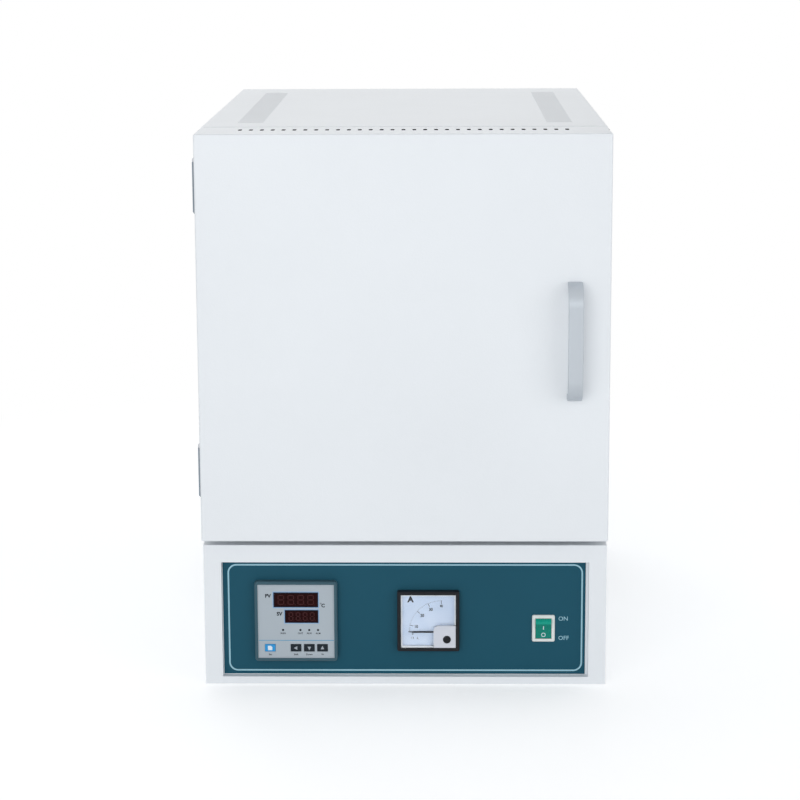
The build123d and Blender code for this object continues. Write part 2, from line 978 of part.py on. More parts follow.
with BuildPart() as safety_plunger:
    plunger_tip = door_back + fit
    plunger_end = frame_back + plunger_guide + plunger_stroke - fit
    round_bar(
        (beside_core_x, plunger_tip, safety_z), (0, 1, 0), plunger_radius, plunger_end - plunger_tip
    )
    fillet(
        safety_plunger.edges().filter_by(GeomType.CIRCLE).sort_by(Axis.Y)[0],
        radius=plunger_radius * 0.5,
    )
safety_plunger.part.label = "safety_plunger"
export_step(safety_plunger.part, "parts/safety_plunger.step")

# Door shell: a folded box, open at the back, with vent slots in its top face
with BuildPart() as door_shell:
    with BuildSketch(facing_front(door_back)):
        with Locations((0, door_middle)):
            Rectangle(body_width, door_height)
    extrude(amount=door_depth)
    back = door_shell.faces().sort_by(Axis.Y)[-1]
    folded = door_shell.edges().filter_by(lambda edge: edge not in back.edges())
    fillet(folded, radius=door_bend)
    offset(amount=-sheet, openings=door_shell.faces().sort_by(Axis.Y)[-1])
    with BuildSketch(facing_front(door_back)):
        with Locations((0, door_middle)):
            Rectangle(2 * side_inner, door_height - 2 * sheet)
            Rectangle(
                2 * (side_inner - flange),
                door_height - 2 * sheet - 2 * flange,
                mode=Mode.SUBTRACT,
            )
    extrude(amount=sheet)
    with BuildSketch(Plane.XY.offset(body_height)):
        with Locations((0, door_front + door_slot_setback)):
            with GridLocations(door_slot_pitch, 0, door_slot_count, 1):
                SlotOverall(door_slot_length, door_slot_width, rotation=90)
    extrude(amount=-2 * sheet, mode=Mode.SUBTRACT)
    for step in (-handle_screw_z, handle_screw_z):
        round_bar(
            (handle_x, door_front, door_middle + step),
            (0, 1, 0),
            screw_hole,
            sheet,
            Mode.SUBTRACT,
        )
    for x, z in liner_screw_places:
        round_bar((x, door_back, z), (0, -1, 0), screw_hole, sheet, Mode.SUBTRACT)
    for height in hinge_heights:
        for step in (-hinge_screw_rise, hinge_screw_rise):
            round_bar(
                (-body_width / 2, door_leaf_y, height + step),
                (1, 0, 0),
                screw_hole,
                sheet,
                Mode.SUBTRACT,
            )
door_shell.part.label = "door_shell"
export_step(door_shell.part, "parts/door_shell.step")

# Refractory plug: a base held by the liner and a tapered nose in the mouth
plug_back = door_back + plug_shoulder
base_half_x = lining_half - plug_base_inset
base_half_z = chamber_height / 2 + brick - plug_base_inset
with BuildPart() as door_plug:
    with BuildSketch(facing_front(plug_back)):
        with Locations((0, door_middle)):
            Rectangle(2 * base_half_x, 2 * base_half_z)
    extrude(amount=plug_base_depth + plug_shoulder)
    with BuildSketch(facing_front(plug_back)):
        with Locations((0, door_middle)):
            Rectangle(chamber_width - 2 * plug_clear, chamber_height - 2 * plug_clear)
    extrude(amount=-(body_front + plug_reach - plug_back), taper=plug_taper)
door_plug.part.label = "door_plug"
export_step(door_plug.part, "parts/door_plug.step")

# Liner plate behind the shell's folded edge, open for the plug
liner_back = door_back - sheet
liner_front = liner_back - liner_sheet
with BuildPart() as door_liner:
    with BuildSketch(facing_front(liner_back)):
        with Locations((0, door_middle)):
            Rectangle(2 * (side_inner - fit), door_height - 2 * (sheet + fit))
            Rectangle(2 * (base_half_x + fit), 2 * (base_half_z + fit), mode=Mode.SUBTRACT)
        for x, z in liner_screw_places:
            with Locations((x, z)):
                Circle(screw_hole, mode=Mode.SUBTRACT)
    extrude(amount=liner_sheet)
door_liner.part.label = "door_liner"
export_step(door_liner.part, "parts/door_liner.step")

with BuildPart() as door_insulation:
    board_front = door_front + sheet + door_air
    board(
        -side_inner + board_margin,
        side_inner - board_margin,
        board_front,
        liner_front,
        door_bottom + sheet + board_margin,
        wrap_top - board_margin,
    )
    board(
        -base_half_x - fit,
        base_half_x + fit,
        door_back - plug_base_depth,
        liner_front,
        door_middle - base_half_z - fit,
        door_middle + base_half_z + fit,
        Mode.SUBTRACT,
    )
door_insulation.part.label = "door_insulation"
export_step(door_insulation.part, "parts/door_insulation.step")

with BuildPart() as door_gasket:
    gasket_half_x = lining_half + mouth_clear + gasket_margin
    gasket_half_z = chamber_height / 2 + brick + mouth_clear + gasket_margin
    with BuildSketch(facing_front(body_front - fit)):
        with Locations((0, door_middle)):
            RectangleRounded(
                2 * (gasket_half_x + gasket_width), 2 * (gasket_half_z + gasket_width), gasket_width
            )
            Rectangle(2 * gasket_half_x, 2 * gasket_half_z, mode=Mode.SUBTRACT)
    extrude(amount=body_front - fit - liner_back)
door_gasket.part.label = "door_gasket"
export_step(door_gasket.part, "parts/door_gasket.step")

# Bow handle: a flat strip whose ends curve back to the door
with BuildPart() as door_handle:
    with BuildSketch(Plane.YZ.offset(handle_x - handle_width / 2)):
        for grow, mode in ((0, Mode.ADD), (handle_thick, Mode.SUBTRACT)):
            half = handle_length / 2 - grow
            front = door_front - handle_reach + grow
            with BuildLine():
                FilletPolyline(
                    (door_front, door_middle + half),
                    (front, door_middle + half),
                    (front, door_middle - half),
                    (door_front, door_middle - half),
                    radius=handle_reach - handle_thick + 4.0 - grow,
                )
                Line((door_front, door_middle - half), (door_front, door_middle + half))
            make_face(mode=mode)
    extrude(amount=handle_width)
    long_edges = door_handle.edges().filter_by(
        lambda edge: abs(edge.center().X - handle_x) > handle_width / 2 - 0.1
        and edge.center().Y < door_front - 1.0
    )
    fillet(long_edges, radius=1.0)
    for step in (-handle_screw_z, handle_screw_z):
        round_bar(
            (handle_x, door_front, door_middle + step),
            (0, -1, 0),
            handle_bore,
            handle_bore_depth,
            Mode.SUBTRACT,
        )
door_handle.part.label = "door_handle"
export_step(door_handle.part, "parts/door_handle.step")

# Screws of the door: handle, liner and hinge leaves
with BuildPart() as door_screws:
    for step in (-handle_screw_z, handle_screw_z):
        round_bar(
            (handle_x, door_front + sheet, door_middle + step),
            (0, -1, 0),
            screw_shank,
            sheet + handle_bore_depth - 2.0,
        )
        round_bar(
            (handle_x, door_front + sheet, door_middle + step), (0, 1, 0), screw_head, 3.0
        )
    for x, z in liner_screw_places:
        round_bar((x, door_back, z), (0, -1, 0), screw_shank, screw_grip)
        round_bar((x, door_back, z), (0, 1, 0), screw_head, screw_head_high)
    for height in hinge_heights:
        for step in (-hinge_screw_rise, hinge_screw_rise):
            screw((-body_width / 2 - leaf_thick, door_leaf_y, height + step), (1, 0, 0))
door_screws.part.label = "door_screws"
export_step(door_screws.part, "parts/door_screws.step")

# Strike plate on the door's folded edge, in front of the catch
with BuildPart() as catch_strike:
    board(
        beside_core_x - catch_width / 2,
        beside_core_x + catch_width / 2,
        door_back,
        door_back + strike_thick,
        door_middle - catch_height / 2 - strike_grow,
        door_middle + catch_height / 2 + strike_grow,
    )
    fillet(catch_strike.edges().filter_by(Axis.Y), radius=1.5)
catch_strike.part.label = "catch_strike"
export_step(catch_strike.part, "parts/catch_strike.step")

# Control panel plate behind the window, and the printed overlay on it
panel_holes = {
    "controller": (controller_x, controller_z, controller_cutout, controller_cutout),
    "switch": (
        switch_x,
        switch_z,
        switch_open_width + 2 * switch_wall + 2 * fit,
        switch_open_height + 2 * switch_wall + 2 * fit,
    ),
}


def cut_panel_holes():
    """Takes the instruments' cut-outs from the sketch that is open."""
    for x, z, width, height in panel_holes.values():
        with Locations((x, z)):
            Rectangle(width, height, mode=Mode.SUBTRACT)
    with Locations((meter_x, meter_z)):
        Circle(meter_can_radius + fit, mode=Mode.SUBTRACT)


with BuildPart() as control_panel:
    with BuildSketch(facing_front(panel_back)):
        with Locations((0, window_middle)):
            Rectangle(window_width + 2 * panel_lap, window_height + 2 * panel_lap)
        cut_panel_holes()
    extrude(amount=sheet)
control_panel.part.label = "control_panel"
export_step(control_panel.part, "parts/control_panel.step")

with BuildPart() as panel_overlay:
    overlay_width = window_width - overlay_left - overlay_right
    with BuildSketch(facing_front(panel_face)):
        with Locations(((overlay_left - overlay_right) / 2, window_middle)):
            Rectangle(overlay_width, window_height - 2 * overlay_edge)
        cut_panel_holes()
    extrude(amount=overlay_thick)
panel_overlay.part.label = "panel_overlay"
export_step(panel_overlay.part, "parts/panel_overlay.step")

# Temperature controller: moulded bezel, face with windows, four keys
bezel_front = overlay_face - controller_proud
face_front = bezel_front + face_recess
face_back = face_front + face_thick
pocket_floor = face_back + key_space
face_size = controller_size - 2 * controller_rim
with BuildPart() as controller_bezel:
    with BuildSketch(facing_front(overlay_face)):
        with Locations((controller_x, controller_z)):
            RectangleRounded(controller_size, controller_size, controller_corner)
    extrude(amount=controller_proud)
    chamfer(controller_bezel.faces().sort_by(Axis.Y)[0].edges(), length=1.0)
    with BuildSketch(facing_front(face_back)):
        with Locations((controller_x, controller_z)):
            Rectangle(face_size, face_size)
    extrude(amount=face_back - bezel_front, mode=Mode.SUBTRACT)
    with BuildSketch(facing_front(pocket_floor)):
        with Locations((controller_x, controller_z)):
            Rectangle(face_size - 2 * face_ledge, face_size - 2 * face_ledge)
    extrude(amount=key_space, mode=Mode.SUBTRACT)
controller_bezel.part.label = "controller_bezel"
export_step(controller_bezel.part, "parts/controller_bezel.step")

with BuildPart() as controller_face:
    with BuildSketch(facing_front(face_back)):
        with Locations((controller_x, controller_z)):
            Rectangle(face_size - running_fit, face_size - running_fit)
            for x, z, width, height in (
                (pv_x, pv_z, pv_width, pv_height),
                (sv_x, sv_z, sv_width, sv_height),
            ):
                with Locations((x, z)):
                    Rectangle(width, height, mode=Mode.SUBTRACT)
            for x in key_xs.values():
                with Locations((x, key_z)):
                    Rectangle(key_width + 2 * fit, key_height + 2 * fit, mode=Mode.SUBTRACT)
    extrude(amount=face_thick)
controller_face.part.label = "controller_face"
export_step(controller_face.part, "parts/controller_face.step")

with BuildPart() as pv_display:
    with BuildSketch(facing_front(face_front - display_proud + display_thick)):
        with Locations((controller_x + pv_x, controller_z + pv_z)):
            RectangleRounded(pv_width - running_fit, pv_height - running_fit, 1.0)
    extrude(amount=display_thick)
pv_display.part.label = "pv_display"
export_step(pv_display.part, "parts/pv_display.step")

with BuildPart() as sv_display:
    with BuildSketch(facing_front(face_front - display_proud + display_thick)):
        with Locations((controller_x + sv_x, controller_z + sv_z)):
            RectangleRounded(sv_width - running_fit, sv_height - running_fit, 1.0)
    extrude(amount=display_thick)
sv_display.part.label = "sv_display"
export_step(sv_display.part, "parts/sv_display.step")

for name, x in key_xs.items():
    with BuildPart() as key:
        with BuildSketch(facing_front(face_back + fit)):
            with Locations((controller_x + x, controller_z + key_z)):
                RectangleRounded(key_width, key_height, key_corner)
        extrude(amount=face_back + fit - face_front + key_proud)
        fillet(key.faces().sort_by(Axis.Y)[0].edges(), radius=0.4)
        with BuildSketch(facing_front(face_back + fit + key_lip_thick)):
            with Locations((controller_x + x, controller_z + key_z)):
                Rectangle(key_width + 2 * key_lip, key_height + 2 * key_lip)
        extrude(amount=key_lip_thick)
    key.part.label = f"key_{name}"
    export_step(key.part, f"parts/key_{name}.step")

with BuildPart() as controller_housing:
    with BuildSketch(facing_front(overlay_face + controller_depth)):
        with Locations((controller_x, controller_z)):
            Rectangle(controller_body, controller_body)
    extrude(amount=controller_depth)
    fillet(controller_housing.faces().sort_by(Axis.Y)[-1].edges(), radius=2.0)
controller_housing.part.label = "controller_housing"
export_step(controller_housing.part, "parts/controller_housing.step")

# Ammeter: black frame and can, dial, needle, shroud, clear cover, zero screw
meter_front = overlay_face - meter_proud
meter_floor = overlay_face - 1.0
dial_front = meter_floor - dial_thick
cover_front = meter_front + 0.4
cover_back = cover_front + cover_thick
meter_inner = meter_size - 2 * meter_rim
shaft_end = overlay_face + meter_can_depth / 2
pivot = (meter_x + pivot_x, meter_z + pivot_z)
with BuildPart() as meter_case:
    with BuildSketch(facing_front(overlay_face)):
        with Locations((meter_x, meter_z)):
            RectangleRounded(meter_size, meter_size, meter_corner)
    extrude(amount=meter_proud)
    chamfer(meter_case.faces().sort_by(Axis.Y)[0].edges(), length=0.8)
    with BuildSketch(facing_front(meter_floor)):
        with Locations((meter_x, meter_z)):
            Rectangle(meter_inner, meter_inner)
    extrude(amount=meter_floor - meter_front, mode=Mode.SUBTRACT)
    round_bar((meter_x, overlay_face, meter_z), (0, 1, 0), meter_can_radius, meter_can_depth)
    round_bar(
        (pivot[0], meter_floor, pivot[1]),
        (0, 1, 0),
        needle_shaft + running_fit,
        shaft_end - meter_floor + 1.0,
        Mode.SUBTRACT,
    )
meter_case.part.label = "meter_case"
export_step(meter_case.part, "parts/meter_case.step")

with BuildPart() as meter_dial:
    with BuildSketch(facing_front(meter_floor)):
        with Locations((meter_x, meter_z)):
            Rectangle(meter_inner - running_fit, meter_inner - running_fit)
        with Locations(pivot):
            Circle(needle_hub, mode=Mode.SUBTRACT)
    extrude(amount=dial_thick)
meter_dial.part.label = "meter_dial"
export_step(meter_dial.part, "parts/meter_dial.step")

needle_back = dial_front - 0.6
with BuildPart() as meter_needle:
    with BuildSketch(facing_front(needle_back)):
        with BuildLine():
            Polyline(
                (pivot[0] + 2.2 * needle_hub, pivot[1] + needle_root),
                (pivot[0], pivot[1] + needle_root / 2),
                (pivot[0] - needle_length, pivot[1] + needle_tip / 2),
                (pivot[0] - needle_length, pivot[1] - needle_tip / 2),
                (pivot[0], pivot[1] - needle_root / 2),
                (pivot[0] + 2.2 * needle_hub, pivot[1] - needle_root),
                close=True,
            )
        make_face()
        with Locations(pivot):
            Circle(needle_hub)
    extrude(amount=needle_thick)
    round_bar(
        (pivot[0], needle_back, pivot[1]), (0, 1, 0), needle_shaft, shaft_end - needle_back
    )
meter_needle.part.label = "meter_needle"
export_step(meter_needle.part, "parts/meter_needle.step")

shroud_right = meter_inner / 2 - 0.5
with BuildPart() as meter_shroud:
    with BuildSketch(facing_front(cover_back + shroud_thick)):
        with Locations(
            (
                meter_x + (shroud_left + shroud_right) / 2,
                meter_z + (shroud_top - shroud_right) / 2,
            )
        ):
            Rectangle(shroud_right - shroud_left, shroud_right + shroud_top)
    extrude(amount=shroud_thick)
    upright = meter_shroud.edges().filter_by(Axis.Y)
    fillet(upright.group_by(Axis.X)[0].sort_by(Axis.Z)[-1], radius=shroud_corner)
    round_bar(
        (meter_x + zero_x, cover_back, meter_z + zero_z),
        (0, 1, 0),
        zero_stem + running_fit,
        shroud_thick,
        Mode.SUBTRACT,
    )
meter_shroud.part.label = "meter_shroud"
export_step(meter_shroud.part, "parts/meter_shroud.step")

with BuildPart() as meter_cover:
    with BuildSketch(facing_front(cover_back)):
        with Locations((meter_x, meter_z)):
            Rectangle(meter_inner - running_fit, meter_inner - running_fit)
        with Locations((meter_x + zero_x, meter_z + zero_z)):
            Circle(zero_radius + running_fit, mode=Mode.SUBTRACT)
    extrude(amount=cover_thick)
meter_cover.part.label = "meter_cover"
export_step(meter_cover.part, "parts/meter_cover.step")

with BuildPart() as zero_screw:
    zero_seat = cover_back - running_fit
    round_bar(
        (meter_x + zero_x, zero_seat, meter_z + zero_z), (0, -1, 0), zero_radius, cover_thick
    )
    chamfer(zero_screw.faces().sort_by(Axis.Y)[0].edges(), length=0.4)
    board(
        meter_x + zero_x - zero_radius,
        meter_x + zero_x + zero_radius,
        zero_seat - cover_thick,
        zero_seat - cover_thick + 0.8,
        meter_z + zero_z - zero_slot / 2,
        meter_z + zero_z + zero_slot / 2,
        Mode.SUBTRACT,
    )
    round_bar(
        (meter_x + zero_x, zero_seat, meter_z + zero_z), (0, 1, 0), zero_stem, shroud_thick
    )
zero_screw.part.label = "zero_screw"
export_step(zero_screw.part, "parts/zero_screw.step")

# Rocker switch: housing with a rim, and the rocker on its trunnions
switch_front = overlay_face - switch_proud
pivot_y = overlay_face
trunnion_hole = trunnion_radius + trunnion_fit / 2
with BuildPart() as switch_housing:
    with BuildSketch(facing_front(overlay_face)):
        with Locations((switch_x, switch_z)):
            RectangleRounded(switch_width, switch_height, 2.0)
    extrude(amount=switch_proud)
    chamfer(switch_housing.faces().sort_by(Axis.Y)[0].edges(), length=0.8)
    with BuildSketch(facing_front(overlay_face + switch_depth)):
        with Locations((switch_x, switch_z)):
            Rectangle(
                switch_open_width + 2 * switch_wall,
                switch_open_height + 2 * switch_wall,
            )
    extrude(amount=switch_depth)
    with BuildSketch(facing_front(overlay_face + switch_depth / 2)):
        with Locations((switch_x, switch_z)):
            Rectangle(switch_open_width, switch_open_height)
    extrude(amount=switch_depth / 2 + switch_proud, mode=Mode.SUBTRACT)
    round_bar(
        (switch_x - switch_open_width / 2 - trunnion_length, pivot_y, switch_z),
        (1, 0, 0),
        trunnion_hole,
        switch_open_width + 2 * trunnion_length,
        Mode.SUBTRACT,
    )
    with BuildSketch(facing_front(overlay_face + switch_depth + 7.0)):
        with Locations((switch_x, switch_z)):
            with GridLocations(0, 8.0, 1, 3):
                Rectangle(6.3, 0.8)
    extrude(amount=7.0)
switch_housing.part.label = "switch_housing"
export_step(switch_housing.part, "parts/switch_housing.step")

rocker_width = switch_open_width - 2 * rocker_side_gap
tilt = math.radians(rocker_tilt)
with BuildPart() as rocker:
    rocker_plane = Plane(
        origin=(switch_x - rocker_width / 2, pivot_y, switch_z),
        x_dir=(0, -math.sin(tilt), math.cos(tilt)),
        z_dir=(1, 0, 0),
    )
    with BuildSketch(rocker_plane):
        Circle(rocker_radius)
        with BuildLine():
            Polyline(
                (-rocker_radius, -rocker_back),
                (rocker_radius, -rocker_back),
                (rocker_radius, rocker_rise),
                (0, rocker_middle),
                (-rocker_radius, rocker_rise),
                close=True,
            )
        make_face(mode=Mode.INTERSECT)
    extrude(amount=rocker_width)
    round_bar(
        (switch_x - rocker_width / 2 - trunnion_length, pivot_y, switch_z),
        (1, 0, 0),
        trunnion_radius,
        rocker_width + 2 * trunnion_length,
    )
rocker.part.label = "rocker"
export_step(rocker.part, "parts/rocker.step")

# Control bay: finned heat sink with its power module, terminal block, gland
bay_y = lining_rear
with BuildPart() as heat_sink:
    with BuildSketch(facing_front(bay_y + sink_depth)):
        with Locations((0, sheet + fin_height + sink_base / 2)):
            Rectangle(sink_width, sink_base)
        with Locations((0, sheet + fin_height / 2)):
            with GridLocations((sink_width - fin_thick) / (fin_count - 1), 0, fin_count, 1):
                Rectangle(fin_thick, fin_height)
    extrude(amount=sink_depth)
heat_sink.part.label = "heat_sink"
export_step(heat_sink.part, "parts/heat_sink.step")

sink_top = sheet + fin_height + sink_base
with BuildPart() as power_module:
    board(
        -module_width / 2,
        module_width / 2,
        bay_y + (sink_depth - module_depth) / 2,
        bay_y + (sink_depth + module_depth) / 2,
        sink_top,
        sink_top + module_height,
    )
    fillet(power_module.edges().filter_by(Axis.Z), radius=2.0)
    with Locations((0, bay_y + sink_depth / 2, sink_top + module_height)):
        with GridLocations(module_width / 2, module_depth / 2, 2, 2):
            Cylinder(4.0, 5.0, align=(Align.CENTER, Align.CENTER, Align.MIN))
power_module.part.label = "power_module"
export_step(power_module.part, "parts/power_module.step")

with BuildPart() as terminal_block:
    block_x = -(side_inner + sink_width / 2) / 2
    board(
        block_x - block_width / 2,
        block_x + block_width / 2,
        bay_y + sink_depth / 2 - block_depth / 2,
        bay_y + sink_depth / 2 + block_depth / 2,
        sheet,
        sheet + block_height,
    )
    for rank in range(5):
        wall_x = block_x + (rank - 2) * (block_width - sheet) / 4
        board(
            wall_x - sheet / 2,
            wall_x + sheet / 2,
            bay_y + sink_depth / 2 - block_depth / 2,
            bay_y + sink_depth / 2 + block_depth / 2,
            sheet + block_height,
            sheet + block_height * 1.4,
        )
terminal_block.part.label = "terminal_block"
export_step(terminal_block.part, "parts/terminal_block.step")

with BuildPart() as cable_gland:
    round_bar(
        (gland_x, rear_face, gland_z), (0, -1, 0), gland_radius, sheet + 8.0
    )
    with BuildSketch(Plane(origin=(gland_x, rear_face, gland_z), z_dir=(0, 1, 0))):
        RegularPolygon(gland_across / 2, 6, major_radius=False)
    extrude(amount=6.0)
    with BuildSketch(Plane(origin=(gland_x, rear_face + 6.0, gland_z), z_dir=(0, 1, 0))):
        Circle(gland_radius + 1.0)
    extrude(amount=14.0)
    fillet(
        cable_gland.faces().sort_by(Axis.Y)[-1].edges(), radius=4.0
    )
    round_bar(
        (gland_x, rear_inner - 8.0, gland_z), (0, 1, 0), 5.0, 32.0, Mode.SUBTRACT
    )
cable_gland.part.label = "cable_gland"
export_step(cable_gland.part, "parts/cable_gland.step")
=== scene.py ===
import math

import bmesh
import bpy
from bpy.props import FloatProperty, FloatVectorProperty, IntProperty, PointerProperty
from mathutils import Matrix, Vector


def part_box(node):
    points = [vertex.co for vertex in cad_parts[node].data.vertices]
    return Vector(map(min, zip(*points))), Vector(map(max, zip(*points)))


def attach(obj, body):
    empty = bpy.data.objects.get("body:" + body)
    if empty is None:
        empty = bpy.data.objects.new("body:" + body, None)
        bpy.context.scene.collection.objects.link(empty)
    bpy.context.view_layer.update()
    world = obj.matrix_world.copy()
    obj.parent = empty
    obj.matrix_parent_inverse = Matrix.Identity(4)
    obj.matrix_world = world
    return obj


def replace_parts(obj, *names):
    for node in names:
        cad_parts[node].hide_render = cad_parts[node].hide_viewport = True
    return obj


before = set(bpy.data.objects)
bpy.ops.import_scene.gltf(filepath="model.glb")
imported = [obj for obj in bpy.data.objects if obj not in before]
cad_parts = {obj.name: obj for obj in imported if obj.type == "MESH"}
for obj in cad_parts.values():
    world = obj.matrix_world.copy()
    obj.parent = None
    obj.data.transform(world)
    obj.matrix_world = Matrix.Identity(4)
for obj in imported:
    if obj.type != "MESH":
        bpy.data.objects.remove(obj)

bl_info = {
    "name": "Muffle Furnace Dressing",
    "version": (1, 0, 0),
    "blender": (4, 5, 0),
    "location": "View3D > Sidebar > Furnace",
    "description": "Finishes, printed marks, heater coils, screws and stage for the muffle furnace",
    "category": "Object",
}

MM = 0.001
INK_LIFT = 0.05 * MM
INK_THICKNESS = 0.03 * MM
FLOAT, WHOLE, VECTOR, COLOUR = "NodeSocketFloat", "NodeSocketInt", "NodeSocketVector", "NodeSocketColor"
GEOMETRY, MATERIAL = "NodeSocketGeometry", "NodeSocketMaterial"
EVEN = (1.0, 1.0, 1.0)
WHITE = (1.0, 1.0, 1.0, 1.0)


def screen(red, green, blue):
    """A linear colour from the 0 to 255 values that a screen shows."""
    linear = []
    for value in (red, green, blue):
        share = value / 255.0
        linear.append(share / 12.92 if share <= 0.04045 else ((share + 0.055) / 1.055) ** 2.4)
    return (*linear, 1.0)


def shade(colour, share):
    """The same colour, darker or lighter."""
    return (*(min(1.0, part * share) for part in colour[:3]), 1.0)


def colour_setting(name, description, colour):
    """A colour that the user can change in the sidebar."""
    return FloatVectorProperty(
        name=name, description=description, subtype="COLOR", size=4, min=0.0, max=1.0, default=colour
    )


def length_setting(name, description, metres):
    """A length that the user can change in the sidebar."""
    return FloatProperty(
        name=name, description=description, subtype="DISTANCE", unit="LENGTH", default=metres, precision=5
    )


class FurnaceColours(bpy.types.PropertyGroup):
    """Colours of the painted, printed and moulded surfaces."""

    enamel: colour_setting("Enamel", "Powder coat of the cabinet and door", screen(232, 236, 240))
    film: colour_setting("Panel film", "Ground of the printed control panel", screen(24, 80, 99))
    film_print: colour_setting("Film print", "Line and words on the panel film", screen(160, 204, 219))
    bezel: colour_setting("Controller bezel", "Moulded rim of the controller", screen(62, 92, 104))
    face: colour_setting("Controller face", "Film on the controller's front", screen(176, 186, 194))
    window: colour_setting("Display window", "Red filter over the digits", screen(38, 7, 9))
    set_key: colour_setting("Set key", "Cap of the key at the left", screen(52, 152, 216))
    dial: colour_setting("Dial", "Card of the ammeter", screen(210, 224, 244))
    rocker: colour_setting("Rocker", "Cap of the mains switch", screen(6, 128, 112))
    brick: colour_setting("Firebrick", "Lining of the chamber", screen(222, 208, 182))


class FurnaceSizes(bpy.types.PropertyGroup):
    """Sizes of the small repeated pieces."""

    wire_radius: length_setting("Wire radius", "Radius of the heater's wire", 0.95 * MM)
    coil_radius: length_setting("Coil radius", "Radius of the coil at the wire's middle", 3.9 * MM)
    coil_pitch: length_setting("Coil pitch", "Distance from one turn to the next", 3.4 * MM)
    strand_radius: length_setting("Strand radius", "Radius of one strand of the door rope", 0.8 * MM)
    head_radius: length_setting("Screw head radius", "Radius of the pan heads", 3.6 * MM)
    head_height: length_setting("Screw head height", "Height of the pan heads", 1.8 * MM)
    outline_width: length_setting("Outline width", "Width of the line on the panel film", 1.8 * MM)
    strand_count: IntProperty(
        name="Strands", description="Strands each way round the rope", default=5, min=2, max=12
    )


class FurnaceStage(bpy.types.PropertyGroup):
    """Camera and light."""

    lens: FloatProperty(
        name="Lens", description="Focal length of the camera", subtype="DISTANCE_CAMERA", default=99.0
    )
    key_level: FloatProperty(
        name="Key light", description="Power of the large lamp", subtype="POWER", default=38.0
    )
    fill_level: FloatProperty(
        name="Fill light", description="Power of the other lamps", subtype="POWER", default=22.0
    )
    sky_level: FloatProperty(
        name="Room light", description="Strength of the even light around", default=0.56
    )
    floor: colour_setting("Floor", "Colour of the floor", screen(244, 245, 246))


class Wiring:
    """A node tree and short ways to fill it. A value is plain, a socket, or a node for its first output."""

    def __init__(self, tree):
        self.tree = tree

    def fill(self, socket, value):
        """Sets a socket or links it."""
        if isinstance(value, bpy.types.Node):
            value = value.outputs[0]
        if isinstance(value, bpy.types.NodeSocket):
            self.tree.links.new(value, socket)
        else:
            socket.default_value = value

    def add(self, kind, values=None, **settings):
        """A node. Its settings come first, because they choose which sockets it has."""
        node = self.tree.nodes.new(kind)
        for key, value in settings.items():
            setattr(node, key, value)
        for key, value in (values or {}).items():
            self.fill(node.inputs[key], value)
        return node

    def sum(self, operation, first, second=0.0, clamp=False):
        """One sum of two numbers."""
        return self.add("ShaderNodeMath", {0: first, 1: second}, operation=operation, use_clamp=clamp)

    def vector(self, operation, first, second=(0.0, 0.0, 0.0)):
        """One sum of two vectors."""
        return self.add("ShaderNodeVectorMath", {0: first, 1: second}, operation=operation)

    def joined(self, x, y, z):
        """A vector from three numbers."""
        return self.add("ShaderNodeCombineXYZ", {0: x, 1: y, 2: z})

    def place(self, stretch=None):
        """Object coordinates, stretched when that is asked."""
        spot = self.add("ShaderNodeTexCoord").outputs["Object"]
        return spot if stretch is None else self.vector("MULTIPLY", spot, stretch)

    def noise(self, place, scale, detail, **others):
        """Soft noise."""
        return self.add("ShaderNodeTexNoise", {"Vector": place, "Scale": scale, "Detail": detail, **others})

    def mask(self, value, low, high):
        """0 at the low value and 1 at the high one."""
        return self.add("ShaderNodeMapRange", {"Value": value, "From Min": low, "From Max": high}, clamp=True)

    def blend(self, share, first, second):
        """A colour between two colours."""
        values = {"Factor": share, "A": first, "B": second}
        return self.add("ShaderNodeMix", values, data_type="RGBA").outputs["Result"]

    def seen_rays(self):
        """1 for what the camera sees, also in a reflection or through glass."""
        paths = self.add("ShaderNodeLightPath").outputs
        seen = self.sum("MAXIMUM", paths["Is Camera Ray"], paths["Is Glossy Ray"])
        return self.sum("MAXIMUM", seen, paths["Is Transmission Ray"])


class Group(Wiring):
    """A node group with named sockets. Indexing it gives one of its inputs."""

    def __init__(self, name, kind, inputs, outputs):
        super().__init__(bpy.data.node_groups.new(name, kind))
        for label, socket_type, value in inputs:
            socket = self.tree.interface.new_socket(name=label, in_out="INPUT", socket_type=socket_type)
            if value is not None:
                socket.default_value = value
        for label, socket_type in outputs:
            self.tree.interface.new_socket(name=label, in_out="OUTPUT", socket_type=socket_type)
        self.start = self.tree.nodes.new("NodeGroupInput")
        self.end = self.tree.nodes.new("NodeGroupOutput")

    def __getitem__(self, label):
        return self.start.outputs[label]

    def close(self, **results):
        """Gives the group's outputs their results."""
        for label, value in results.items():
            self.fill(self.end.inputs[label], value)


def shader_group(name, inputs, outputs=(("Height", FLOAT), ("Mask", FLOAT))):
    """An empty group for surfaces."""
    return Group(name, "ShaderNodeTree", inputs, outputs)


def build_grain_group():
    """Fine even grain, for paint peel, moulded plastic and printed film."""
    made = shader_group(
        "Fine grain", (("Scale", FLOAT, 400.0), ("Detail", FLOAT, 2.0), ("Stretch", VECTOR, EVEN))
    )
    grain = made.noise(made.place(made["Stretch"]), made["Scale"], made["Detail"], Roughness=0.55)
    made.close(Height=grain, Mask=made.mask(grain, 0.35, 0.65))


